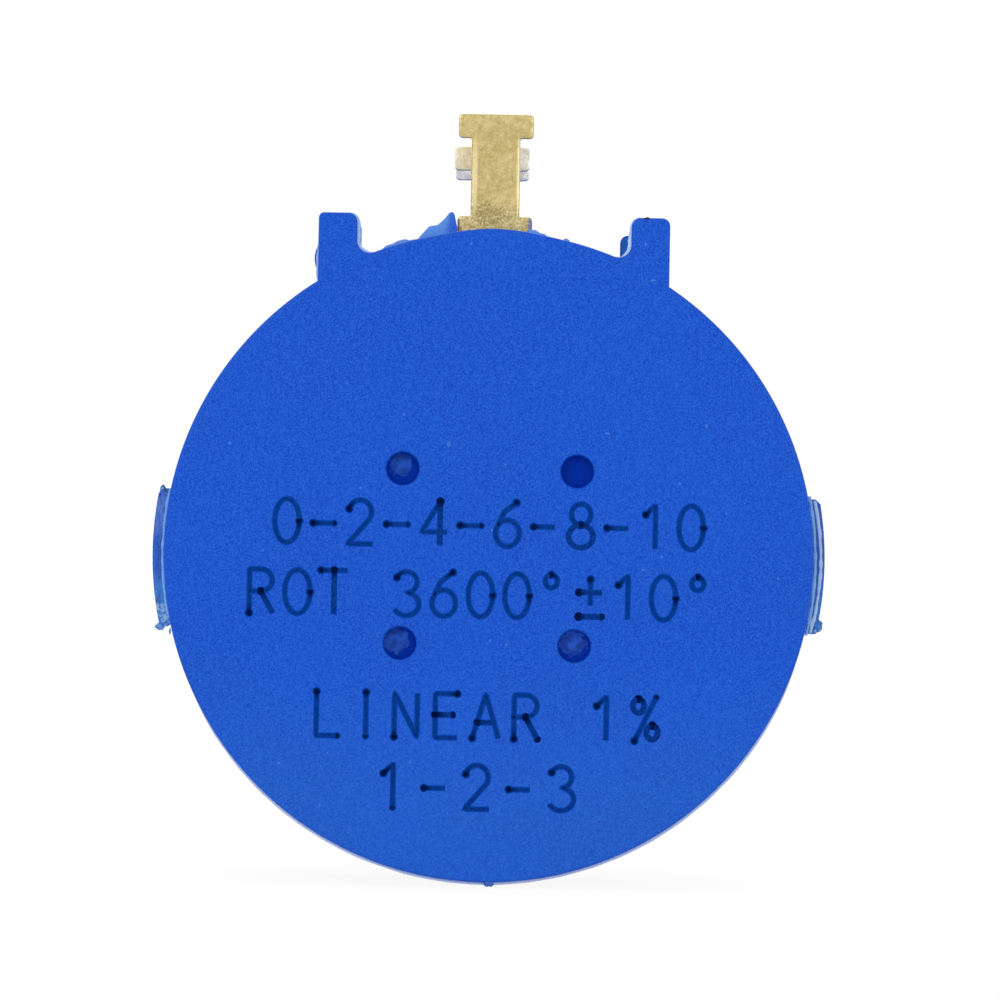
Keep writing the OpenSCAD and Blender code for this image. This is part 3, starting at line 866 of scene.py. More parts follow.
@dataclass
class Solid:
    """A closed mesh in millimetres."""

    mesh: Mesh

    @classmethod
    def skinned(cls, loops: Sequence[Sequence[Sequence[float]]], ring: bool = False) -> "Solid":
        """Skins a row of loops that have as many points each.

        Args:
            loops: The loops, each a closed row of points.
            ring: Whether the last loop joins on to the first. If not, both ends are capped.

        Returns:
            The solid.
        """
        mesh = bpy.data.meshes.new("solid")
        with editing(mesh) as work:
            rows = [[work.verts.new(point) for point in loop] for loop in loops]
            for first, second in zip(rows, rows[1:] + rows[:1] if ring else rows[1:]):
                for i in range(len(first)):
                    j = (i + 1) % len(first)
                    work.faces.new((first[i], first[j], second[j], second[i]))
            if not ring:
                work.faces.new(rows[0])
                work.faces.new(rows[-1])
            bmesh.ops.remove_doubles(work, verts=work.verts, dist=1e-5)
            bmesh.ops.recalc_face_normals(work, faces=work.faces)
        return cls(mesh)

    @classmethod
    def of_node(cls, node: Object) -> "Solid":
        """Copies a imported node's shape, with its loose triangles joined.

        Args:
            node: The node's object.

        Returns:
            The copy.
        """
        mesh = node.data.copy()
        mesh.transform(Matrix.Scale(1 / MM, 4))
        with editing(mesh) as work:
            bmesh.ops.remove_doubles(work, verts=work.verts, dist=1e-4)
            bmesh.ops.dissolve_limit(work, angle_limit=math.radians(1.0), verts=work.verts, edges=work.edges)
        return cls(mesh)

    def worked(self, kind: str, **settings: Any) -> "Solid":
        """Puts one modifier on the solid and keeps its result.

        Args:
            kind: The modifier's type.
            settings: Its properties.

        Returns:
            This solid.
        """
        holder = placed("worked", self.mesh)
        modifier = holder.modifiers.new("work", kind)
        for name, value in settings.items():
            setattr(modifier, name, value)
        self.mesh = settled(holder)
        return self

    def act(self, joining: Joining, *others: "Solid") -> "Solid":
        """Cuts this solid by others, joins them to it, or keeps what lies in them.

        Args:
            joining: Which of these.
            others: The other solids, one after the other.

        Returns:
            This solid.
        """
        for other in others:
            tool = placed("tool", other.mesh)
            self.worked("BOOLEAN", object=tool, operation=joining.value, solver="EXACT")
            bpy.data.objects.remove(tool)
        return self

    cut = partialmethod(act, Joining.CUT)
    join = partialmethod(act, Joining.JOIN)
    keep = partialmethod(act, Joining.KEEP)

    def soften(self, width: float, steps: int = 2, angle: float = 38.0) -> "Solid":
        """Rounds every edge sharper than an angle to one width, with a few faces across it."""
        return self.worked(
            "BEVEL", width=width, segments=steps, limit_method="ANGLE", angle_limit=math.radians(angle),
            miter_outer="MITER_ARC", use_clamp_overlap=True,
        )

    def copied(self, change: Matrix) -> "Solid":
        """Copies the solid.

        Args:
            change: How the copy is moved.

        Returns:
            The copy.
        """
        mesh = self.mesh.copy()
        mesh.transform(change)
        return Solid(mesh)

    def mirrored(self) -> "Solid":
        """Copies the solid to the other side of the plane through the shaft and the terminals.

        Returns:
            The copy, with its faces outwards again.
        """
        copy = self.copied(Matrix.Scale(-1.0, 4, (1.0, 0.0, 0.0)))
        copy.mesh.flip_normals()
        return copy


def bound(*solids: Solid) -> Solid:
    """Puts solids that run into each other into one mesh.

    Args:
        solids: The solids.

    Returns:
        All of them as one.
    """
    mesh = bpy.data.meshes.new("bound")
    with editing(mesh) as work:
        for solid in solids:
            work.from_mesh(solid.mesh)
    return Solid(mesh)


def strip(pairs: Iterable[tuple[Point, Point]], rear: float, front: float) -> Solid:
    """A flat strip between pairs of inner and outer points across and up, thick along Y."""
    return Solid.skinned([
        [(x, y, z) for (x, z), y in zip((inner, outer, outer, inner), (rear, rear, front, front))]
        for inner, outer in pairs
    ])


def lathe(profile: Path, steps: int = 192, start: float = 0.0, sweep: float = 360.0) -> Solid:
    """Turns a closed profile about the shaft's axis.

    Args:
        profile: The profile's points, as (radius, y).
        steps: How many faces a full turn has.
        start: The angle where the turn begins.
        sweep: How far it goes.

    Returns:
        The turned solid.
    """
    full = sweep >= 360.0
    count = max(2, round(steps * sweep / 360.0))
    loops = []
    for i in range(count if full else count + 1):
        angle = start + sweep * i / count
        across = [around(radius, angle) for radius, _ in profile]
        loops.append([(x, y, z) for (x, z), (_, y) in zip(across, profile)])
    return Solid.skinned(loops, ring=full)


def sector(radii: Point, ends: Point, steps: int, start: float, sweep: float) -> Solid:
    """A stretch of a square-edged ring between two radii and two places along Y, turned as by lathe()."""
    profile = [(radii[0], ends[0]), (radii[1], ends[0]), (radii[1], ends[1]), (radii[0], ends[1])]
    return lathe(profile, steps, start, sweep)


def post(centre: Point, profile: Path, steps: int = 48) -> Solid:
    """A round post along Y, centred on a point across and up, with a profile of (radius, y) points."""
    loops = [[(x, y, z) for x, z in arc(radius, 0, 360, steps, centre)[:-1]] for radius, y in profile]
    return Solid.skinned(loops)


def block(low: Sequence[float], high: Sequence[float]) -> Solid:
    """A box between two corners."""
    (x0, y0, z0), (x1, y1, z1) = low, high
    return Solid.skinned([[(x0, y, z0), (x1, y, z0), (x1, y, z1), (x0, y, z1)] for y in (y0, y1)])


def beam(outline: Path, low: float, high: float) -> Solid:
    """Extrudes an outline of (x, y) points along Z."""
    return Solid.skinned([[(x, y, z) for x, y in outline] for z in (low, high)])


def rounding(width: float, depth: float, count: int = 5) -> list[Point]:
    """Steps round a rounded edge, as (inset, depth), from the end face to the side."""
    quarter = [math.pi / 2 * i / count for i in range(count + 1)]
    return [(width * (1 - math.sin(turn)), depth * (1 - math.cos(turn))) for turn in quarter]


def slab(
    outline: Path, rear: float, front: float, rear_edge: Point = (0, 0), front_edge: Point = (0, 0)
) -> Solid:
    """Extrudes a clockwise outline along Y.

    Args:
        outline: The outline's points across and up.
        rear: Where it begins.
        front: Where it ends.
        rear_edge: Width and depth of the rounding on its rear edge.
        front_edge: Width and depth of the rounding on its front edge.

    Returns:
        The extruded solid.
    """
    stations = []
    for place, edge, side in ((rear, rear_edge, 1), (front, front_edge, -1)):
        steps = rounding(*edge) if edge[0] else [(0.0, 0.0)]
        stations += [(depth, place + side * along) for depth, along in steps[::side]]
    return Solid.skinned([[(x, y, z) for x, z in inset(outline, depth)] for depth, y in stations])


def lump(centre: Sequence[float], size: Sequence[float], ragged: float = 0.35, detail: int = 4) -> Solid:
    """A small torn bit of plastic.

    Args:
        centre: Its centre.
        size: Its half sizes along the three axes.
        ragged: How far its surface strays from an ellipsoid, as a share of its size.
        detail: How many times the starting ball is divided.

    Returns:
        The closed lump.
    """
    mesh, fineness = bpy.data.meshes.new("lump"), 1.7
    with editing(mesh) as work:
        bmesh.ops.create_icosphere(work, subdivisions=detail, radius=1.0)
        for vertex in work.verts:
            reach = 1 + ragged * noise.noise(vertex.co * fineness + Vector(centre))
            vertex.co = Vector(centre) + Vector([part * half * reach for part, half in zip(vertex.co, size)])
    return Solid(mesh)


def grown(
    name: str, build: Callable[[Shape], Term], sizes: dict[str, float], finish: Finish,
    seed: Optional[Curve] = None,
) -> Solid:
    """Grows a mesh through a Geometry Nodes tree.

    Args:
        name: The tree's name.
        build: Makes the tree's steps and returns their result.
        sizes: The tree's named inputs and their values.
        finish: The finish whose material the tree sets.
        seed: The curve that the tree starts from, if it needs one.

    Returns:
        The result as a plain mesh.
    """
    tree = bpy.data.node_groups.new(name, "GeometryNodeTree")
    shape = Shape(tree, sizes)
    real = shape.step("RealizeInstances", {"Geometry": build(shape)})
    dressed = shape.step("SetMaterial", {"Geometry": real, "Material": finish.material()})
    shape.node("NodeGroupOutput", {"Geometry": dressed})
    holder = placed(name, seed or bpy.data.meshes.new("seed"))
    modifier = holder.modifiers.new(name, "NODES")
    modifier.node_group = tree
    for key, value in sizes.items():
        modifier[shape.sockets[key].identifier] = value
    return Solid(settled(holder))


def present(
    solid: Solid, name: str, finish: Finish, stands_for: str = "", body: str = "housing", smooth: float = 32.0
) -> None:
    """Turns a solid into a finished piece of the object.

    Args:
        solid: The solid, in millimetres.
        name: The piece's name.
        finish: Its finish.
        stands_for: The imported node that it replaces, if any.
        body: The body that it moves with.
        smooth: The sharpest edge that still shades smoothly.
    """
    mesh = solid.mesh
    mesh.name = name
    mesh.transform(Matrix.Scale(MM, 4))
    mesh.shade_smooth()
    mesh.set_sharp_from_angle(angle=math.radians(smooth))
    mesh.materials.clear()
    mesh.materials.append(finish.material())
    piece = placed(name, mesh)
    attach(piece, body)
    if stands_for:
        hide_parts(stands_for)
    LOG.info("%s: %d faces, %s, on %s", name, len(mesh.polygons), finish.name, body)


# --- layout


@dataclass(frozen=True)
class Layout:
    """Radii and places that several pieces share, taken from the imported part."""

    housing: Box
    lid: Box
    bushing: Box
    shaft: Box
    drum: Box
    element: Box
    side_wall: float = 1.3
    rear_wall: float = 1.3
    sheet: float = 0.4
    clearance: float = 0.03
    play: float = 0.05
    element_gap: float = 0.1
    ear_x: float = 5.34
    arm_half: float = 2.5
    arm_thick: float = 0.9
    window_half: float = 1.55
    window_len: float = 2.6
    window_inset: float = 2.2
    journal_r: float = 2.0
    seat_step: float = 0.175
    boss_step: float = 0.55
    notch_len: float = 3.5
    carriage_half: float = 1.5
    bushing_foot_y: float = -0.6

    @classmethod
    def read(cls) -> "Layout":
        """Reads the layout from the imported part."""
        names = ("rear_housing", "front_lid", "bushing", "shaft", "rotor_drum", "resistance_element")
        return cls(*(Box.of(name) for name in names))

    @property
    def body_r(self) -> float:
        """Radius of the round body."""
        return -self.housing.low.z

    @property
    def rear_y(self) -> float:
        """The rear face."""
        return self.housing.low.y

    @property
    def parting_y(self) -> float:
        """The face where housing and lid meet."""
        return self.housing.high.y

    @property
    def bore_r(self) -> float:
        """Radius of the housing's bore."""
        return self.body_r - self.side_wall

    @property
    def floor_y(self) -> float:
        """The bore's floor."""
        return self.rear_y + self.rear_wall

    @property
    def arm_out_r(self) -> float:
        """Outer radius of the latch arms."""
        return self.lid.high.x

    @property
    def arm_in_r(self) -> float:
        """Inner radius of the latch arms."""
        return self.arm_out_r - self.arm_thick

    @property
    def window_y(self) -> float:
        """Rear end of the latch windows."""
        return self.lid.low.y + self.window_inset - self.play

    @property
    def shaft_r(self) -> float:
        """Radius of the shaft."""
        return self.shaft.high.z

    @property
    def seat_r(self) -> float:
        """Radius of the drum's seat on the shaft."""
        return self.shaft_r - self.seat_step

    @property
    def boss_r(self) -> float:
        """Radius of the rear bearing boss."""
        return self.seat_r + self.boss_step

    @property
    def element_out_r(self) -> float:
        """Outer radius of the coiled element."""
        return self.bore_r - self.element_gap

    @property
    def strip_front_y(self) -> float:
        """Front face of the wiper terminal's strip."""
        return self.floor_y + self.play + self.sheet


# --- moulded pieces

# Lower and upper side of the -X latch arm and of the +X one, which stand a little low in their channels
ARM_ENDS = ((-2.5, 2.16), (-2.43, 2.18))


@dataclass
class Housing:
    """The moulded cup: ears beside the terminals, dimples, latch channels and catches, boss and rear stop."""

    plan: Layout
    rim_round: float = 0.11
    parting_round: float = 0.04
    ear_w: float = 1.32
    ear_rise: float = 0.58
    outer_rounds: Point = (0.18, 0.27)
    inner_round: float = 0.32
    root_round: float = 0.42
    swell: Point = (0.03, 0.09)
    swell_half: float = 12.5
    # Painted highlights beside the ears, pale strips that stand in for the white surroundings reflected at a
    # grazing angle: their depth behind the rear face, how far they reach into the outline, and how far out
    # each stands along its stretch
    highlight_y: Point = (0.12, 0.18)
    highlight_root: float = 0.05
    left_inner_highlight: Path = ((0, 0), (0.1, 0.06), (0.28, 0.1), (0.7, 0.115), (0.82, 0.07), (1, 0))
    left_outer_highlight: Path = ((0, 0), (0.4, 0.01), (0.6, 0.06), (0.9, 0.065), (1, 0.02))
    right_inner_highlight: Path = (
        (0, 0), (0.12, 0.02), (0.2, 0.08), (0.3, 0.105), (0.5, 0.11), (0.62, 0.085), (0.78, 0.05), (1, 0.01)
    )
    boss_rise: float = 0.4
    platform_w: float = 2.05
    catch_root: float = 0.4
    catch_sunk: float = 0.15
    catch_flat: float = 0.5
    catch_short: float = 0.35
    catch_round: float = 0.08
    dimple_r: float = 0.565
    dimple_off: float = 2.98
    dimple_depth: float = 0.45
    dimple_rim: float = 0.04
    dimple_floor: Path = ((0, 0), (0.01, 0.05), (0.045, 0.105), (0.1, 0.14), (0.16, 0.15))
    slot_foot_z: float = 9.15
    foot_half: float = 1.28
    stem_half: float = 0.86
    strap_out_r: float = 10.08
    strap_slot_half: float = 16.0
    stop_len: float = 1.2

    def ear(self, outer_round: float) -> list[Point]:
        """Draws an ear on the +X side.

        Args:
            outer_round: The rounding of its outer top corner.

        Returns:
            Its outline, clockwise from the root of its inner side to its outer foot.
        """
        inner, outer = self.plan.ear_x - self.ear_w / 2, self.plan.ear_x + self.ear_w / 2
        top = self.plan.body_r + self.ear_rise
        root_x = inner - self.root_round
        root_z = math.sqrt((self.plan.body_r + self.swell[0] + self.root_round) ** 2 - root_x**2)
        lean = math.degrees(math.atan2(root_x, root_z))
        return (
            arc(self.root_round, lean + 180, 90, 6, (root_x, root_z))
            + arc(self.inner_round, 270, 360, 6, (inner + self.inner_round, top - self.inner_round))
            + arc(outer_round, 0, 90, 5, (outer - outer_round, top - outer_round))
        )

    def foot(self, ear: Path) -> float:
        """The angle where an ear's outer side meets the round body."""
        return math.degrees(math.asin(ear[-1][0] / self.plan.body_r))

    def skin(self, path: Path, stands: Path, seed: float) -> Solid:
        """A pale strip of painted highlight along a stretch of the outline, just inside the rear face,
        standing in for a grazing reflection.

        Args:
            path: The stretch, clockwise.
            stands: How far out the strip stands, as (share of the path, distance).
            seed: What its unevenness is drawn from.

        Returns:
            The strip.
        """
        steps, unevenness, fineness, least = 48, 0.3, 9, 0.004
        pairs = []
        for share, here, outward in walked(path, steps):
            reach = max(least, height(stands, share) * (1 + unevenness * stray(share * fineness, seed, 0)))
            pairs.append((here - outward * self.highlight_root, here + outward * reach))
        return strip(pairs, *(self.plan.rear_y + depth for depth in self.highlight_y))

    def ear_painted_highlights(self) -> None:
        """Builds the painted highlights on both sides of the ear at -X and on the inner side of the ear at +X.
        """
        inner_points = 14
        left_ear, right_ear = (self.ear(size) for size in self.outer_rounds)
        outside = [left_ear[-1], around(self.plan.body_r, self.foot(left_ear))]
        left = bound(
            self.skin(left_ear[:inner_points], self.left_inner_highlight, 2.0),
            self.skin(outside, self.left_outer_highlight, 5.0),
        )
        present(left.mirrored(), "left_ear_painted_highlight", EAR_HIGHLIGHT_BLUE)
        right = self.skin(right_ear[:inner_points], self.right_inner_highlight, 3.0)
        present(right, "right_ear_painted_highlight", BLOOM_AND_HIGHLIGHT_BLUE)

    def crest(self, angle: float) -> Point:
        """A point of the edge between the ears, which is a little swollen, most of all at the terminals."""
        peak = max(0.0, math.cos(math.radians(90 * angle / self.swell_half)))
        return around(self.plan.body_r + self.swell[0] + self.swell[1] * peak**2, angle)

    def outline(self) -> list[Point]:
        """Draws the whole cup.

        Returns:
            Its outline, clockwise.
        """
        left_ear, ear = (self.ear(size) for size in self.outer_rounds)
        foot = self.foot(ear)
        root = math.degrees(math.atan2(*ear[0]))
        half_steps = 20
        return (
            ear
            + arc(self.plan.body_r, foot, 360 - foot, 180)
            + [(-x, z) for x, z in reversed(left_ear)]
            + [self.crest(root * (step / half_steps - 1)) for step in range(1, 2 * half_steps)]
        )

    def inside(self) -> Solid:
        """The room inside.

        Returns:
            The bore down to its floor, round the slip ring's platform and the boss, and the journal's bore.
        """
        plan = self.plan
        journal_r, journal_y = plan.journal_r + plan.clearance, plan.shaft.low.y - 0.1
        boss_y, platform_r = plan.strip_front_y + self.boss_rise, plan.boss_r + self.platform_w
        return lathe([
            (0, journal_y), (journal_r, journal_y), (journal_r, boss_y), (plan.boss_r, boss_y),
            (plan.boss_r, plan.strip_front_y), (platform_r, plan.strip_front_y), (platform_r, plan.floor_y),
            (plan.bore_r, plan.floor_y), (plan.bore_r, 0), (0, 0),
        ])

    def channel(self) -> Solid:
        """The room for the +X latch arm in the cup's side.

        Returns:
            The room.
        """
        plan = self.plan
        floor_r, half = plan.arm_in_r - plan.play, plan.arm_half + plan.play
        swing = math.degrees(math.asin(half / floor_r))
        far = plan.arm_out_r + BEYOND
        outline = arc(floor_r, 90 - swing, 90 + swing, 24) + [(far, -half), (far, half)]
        return slab(outline, plan.lid.low.y - plan.play, 0)

    def catch(self) -> Solid:
        """The wedge that holds the +X latch arm by its window.

        Returns:
            The wedge.
        """
        plan = self.plan
        root, top = plan.bore_r + self.catch_root, plan.arm_out_r - self.catch_sunk
        rear, front = plan.window_y + plan.play, plan.window_y + plan.window_len - self.catch_short
        corners = [
            (root, rear), (top, rear), (top, rear + self.catch_flat), (plan.arm_in_r - plan.play, front),
            (root, front),
        ]
        outline = eased(corners, [0, self.catch_round, self.catch_round, 0, 0])
        return beam(outline, plan.play - plan.window_half, plan.window_half - plan.play)

    def dimple_places(self) -> list[Point]:
        """The middles of the dimples, from the lower one at -X."""
        return [(side * self.dimple_off, level * self.dimple_off) for side in (-1, 1) for level in (-1, 1)]

    def dimples(self) -> list[Solid]:
        """The blind dimples, each with a broken rim and a rounded floor.

        Returns:
            A solid for each.
        """
        rim, rear = self.dimple_r + self.dimple_rim, self.plan.rear_y
        (_, floor_rise), floor = self.dimple_floor[-1], rear + self.dimple_depth
        wall = [(rim, rear - 0.5), (rim, rear), (self.dimple_r, rear + 0.05)]
        bottom = [(self.dimple_r - inward, floor - floor_rise + along) for inward, along in self.dimple_floor]
        return [post(place, wall + bottom) for place in self.dimple_places()]

    def dimple_shade_linings(self) -> Solid:
        """The linings of painted shade in the dimples.

        Returns:
            All four in one mesh.
        """
        gap, thick = 0.004, 0.03
        lip, floor = self.plan.rear_y + 0.08, self.plan.rear_y + self.dimple_depth
        outer = self.dimple_r - gap
        inner = outer - thick
        outside = [
            (outer - 0.01, lip - 0.02), (outer, lip), (outer, floor - 0.17), (outer - 0.045, floor - 0.05),
            (outer - 0.16, floor - gap), (0, floor - gap),
        ]
        inside = [
            (0, floor - thick), (outer - 0.18, floor - thick), (outer - 0.07, floor - 0.08),
            (inner, floor - 0.17), (inner, lip),
        ]
        cup = lathe(outside + inside, 64)
        return bound(*(cup.copied(Matrix.Translation((x, 0, z))) for x, z in self.dimple_places()))

    def slots(self) -> list[Solid]:
        """The slots that the terminals and their straps pass through.

        Returns:
            The solids to cut.
        """
        plan, play = self.plan, self.plan.clearance
        cuts = []
        for node in ("ccw_terminal", "cw_terminal"):
            lug = Box.of(node)
            rear, front = lug.low.y - play, lug.high.y + play
            foot_top = lug.high.z - plan.notch_len + play
            for half, top in ((self.foot_half, foot_top), (self.stem_half, plan.body_r + BEYOND)):
                cuts.append(block((-half, rear, self.slot_foot_z), (half, front, top)))
        low = (-self.foot_half, plan.floor_y - 0.001, plan.boss_r)
        cuts.append(block(low, (self.foot_half, plan.strip_front_y + 0.001, plan.body_r + BEYOND)))
        half = self.strap_slot_half
        for clip in ("ccw_end_clip", "cw_end_clip"):
            strap = Box.of(clip)
            radii = plan.bore_r - 0.5, self.strap_out_r
            cuts.append(sector(radii, (strap.low.y, strap.high.y), 360, -half, 2 * half))
        return cuts

    def build(self) -> None:
        """Builds the cup, the nick in one ear with a dark spot in it, the painted shade in the dimples and the
        painted highlights beside the ears.
        """
        plan = self.plan
        edges = ((size, size) for size in (self.rim_round, self.parting_round))
        cup = slab(self.outline(), plan.rear_y, plan.parting_y, *edges)
        channel, catch = self.channel(), self.catch()
        cup.cut(self.inside(), channel, channel.mirrored(), *self.dimples())
        cup.join(catch, catch.mirrored())
        cup.join(end_stop(plan, -1, plan.floor_y - 0.1, plan.floor_y + self.stop_len))
        cup.cut(*self.slots())
        nick_x, ear_top = 5.2, plan.body_r + self.ear_rise
        cup.cut(lump((nick_x, plan.rear_y + 0.1, ear_top + 0.01), (0.17, 0.3, 0.07), 0.5, 3))
        # A dark spot sitting in the nick
        nick_spot = lump((nick_x, plan.rear_y + 0.12, ear_top - 0.05), (0.14, 0.09, 0.065), 0.6, 3)
        present(cup, "housing_cup", HOUSING_BLUE, "rear_housing")
        present(nick_spot, "nick_dark_spot", NICK_DARK)
        present(self.dimple_shade_linings(), "dimple_shade_linings", DIMPLE_SHADE_BLUE)
        self.ear_painted_highlights()


def end_stop(plan: Layout, side: int, rear: float, front: float) -> Solid:
    """A stop for the carriage beside the terminals' plane.

    Args:
        plan: The layout.
        side: 1 for +X, -1 for -X.
        rear: Where it begins.
        front: Where it ends.

    Returns:
        The stop.
    """
    near, far = plan.carriage_half + 0.05, plan.carriage_half + 1.5
    radii = plan.drum.high.z + 0.15, plan.element_out_r - 1.25
    between = block((near, rear - BEYOND, 0), (far, front + BEYOND, plan.body_r))
    stop = sector(radii, (rear, front), 180, 0, 40).keep(between)
    return stop if side > 0 else stop.mirrored()


@dataclass
class Lid:
    """The moulded lid: spigot, latch arms with windows, lobes behind the ears, turning lug and front stop."""

    plan: Layout
    front_round: float = 0.22
    spigot_len: float = 1.0
    spigot_round: float = 0.15
    parting_round: float = 0.04
    web: float = 1.6
    neck_r: float = 4.402
    collar_r: float = 5.0
    collar_y: float = -0.2
    recess_step: float = 0.7
    lobe_r: float = 0.98
    lobe_z: float = 10.35
    right_lobe_x: Point = (4.39, 5.92)
    right_lobe_foot_z: float = 9.2
    arm_front_y: float = -0.5
    arm_lead: float = 0.25
    arm_chamfer: tuple[float, float] = (0.36, 0.42)
    lug_z: float = 7.9
    lug_w: float = 1.6
    lug_t: float = 0.8
    stop_y: Point = (-2.8, -1.5)

    def disc(self) -> Solid:
        """The disc and its spigot.

        Returns:
            The turned solid.
        """
        plan = self.plan
        spigot_r, rear = plan.bore_r - plan.play, plan.parting_y - self.spigot_len
        corners = [
            (0, rear), (spigot_r, rear), (spigot_r, plan.parting_y), (plan.body_r, plan.parting_y),
            (plan.body_r, 0), (0, 0),
        ]
        return lathe(eased(corners, [0, self.spigot_round, 0, self.parting_round, self.front_round, 0], 5))

    def lobe(self, side: int) -> Solid:
        """The lobe that closes an ear's front end: round on -X, and squarer and set inwards on +X.

        Args:
            side: 1 for +X, -1 for -X.

        Returns:
            The lobe.
        """
        if side < 0:
            outline = arc(self.lobe_r, 120, 384, 44, (-self.plan.ear_x, self.lobe_z))
        else:
            plate = rectangle(*self.right_lobe_x, self.right_lobe_foot_z, self.lobe_z + self.lobe_r)
            outline = eased(plate, [0.1, 0.24, 0.5, 0.1], 8)
        return slab(outline, self.plan.parting_y - 0.001, -0.2, (0.04, 0.04), (0.09, 0.09))

    def lobe_painted_light(self, side: int) -> Solid:
        """Painted light on the rear of a lobe, where it stands clear of its ear: on -X a pale crescent for the
        lobe's side lit at a grazing angle, on +X a lighter plate that lifts the shade between ear and lid.

        Args:
            side: 1 for +X, -1 for -X.

        Returns:
            The painted piece.
        """
        rear, margin = self.plan.parting_y, 0.05
        out_r, in_r = self.lobe_r - margin, self.lobe_r - 0.4
        if side < 0:
            centre = (-self.plan.ear_x, self.lobe_z)
            outline = arc(out_r, 215, 325, 24, centre) + arc(in_r, 325, 215, 24, centre)
        else:
            plate = rectangle(self.right_lobe_x[0] + margin, 4.9, 9.5, self.lobe_z + self.lobe_r - margin)
            outline = eased(plate, [0.1, 0.2, 0.1, 0.1])
        return slab(outline, rear - 0.02, rear + 0.1)

    def arm(self, low: float, high: float) -> Solid:
        """A latch arm on the +X side, with its window.

        Args:
            low: Its lower side.
            high: Its upper side.

        Returns:
            The arm.
        """
        plan, lead, front = self.plan, self.arm_lead, self.arm_front_y
        in_r, out_r, rear = plan.arm_in_r, plan.arm_out_r, plan.lid.low.y
        corners = [
            (in_r, rear), (out_r - lead, rear), (out_r, rear + lead), (out_r, front - 0.4),
            (plan.body_r - 0.02, front + 0.02), (in_r, front),
        ]
        arm = lathe(eased(corners, [0.05, 0.1, 0.1, 0.2, 0, 0]), 240, 74, 32)
        arm.keep(block((0, rear - BEYOND, low), (out_r + BEYOND, BEYOND, high)))
        wide, tall = self.arm_chamfer
        corner = [(out_r - wide, high + 0.01), (out_r + 0.1, high + 0.01), (out_r + 0.1, high - tall)]
        arm.cut(slab(corner, rear - BEYOND, plan.parting_y))
        window = block(
            (in_r - BEYOND, plan.window_y, -plan.window_half),
            (out_r + BEYOND, plan.window_y + plan.window_len, plan.window_half),
        )
        return arm.cut(window).soften(0.06)

    def openings(self) -> Solid:
        """The recess behind the web and the room for the bushing.

        Returns:
            The solid to cut.
        """
        plan = self.plan
        recess_r, flange_r, inner_y = plan.element_out_r - self.recess_step, plan.bushing.high.z, -9
        return lathe([
            (0, inner_y), (recess_r, inner_y), (recess_r, -self.web), (flange_r, -self.web),
            (flange_r, plan.bushing_foot_y), (self.neck_r, plan.bushing_foot_y), (self.neck_r, self.collar_y),
            (self.collar_r, self.collar_y), (self.collar_r, BEYOND), (0, BEYOND),
        ])

    def lug(self) -> Solid:
        """The lug that keeps the part from turning in its panel."""
        half, low, high = self.lug_w / 2, self.lug_z - self.lug_t / 2, self.lug_z + self.lug_t / 2
        return block((-half, -0.4, low), (half, self.plan.lid.high.y, high)).soften(0.12, 3)

    def build(self) -> None:
        """Builds the lid and the painted light on the rear of its lobes."""
        (left_low, left_high), right_ends = ARM_ENDS
        arms = self.arm(left_low, left_high).mirrored(), self.arm(*right_ends)
        lid = self.disc().join(self.lobe(-1), self.lobe(1), *arms)
        lid.cut(self.openings()).join(self.lug(), end_stop(self.plan, 1, *self.stop_y))
        present(lid, "lid_moulding", HOUSING_BLUE, "front_lid")
        present(self.lobe_painted_light(-1), "left_lobe_painted_highlight", BLOOM_AND_HIGHLIGHT_BLUE)
        present(self.lobe_painted_light(1), "right_lobe_painted_light", LOBE_PAINTED_LIGHT)


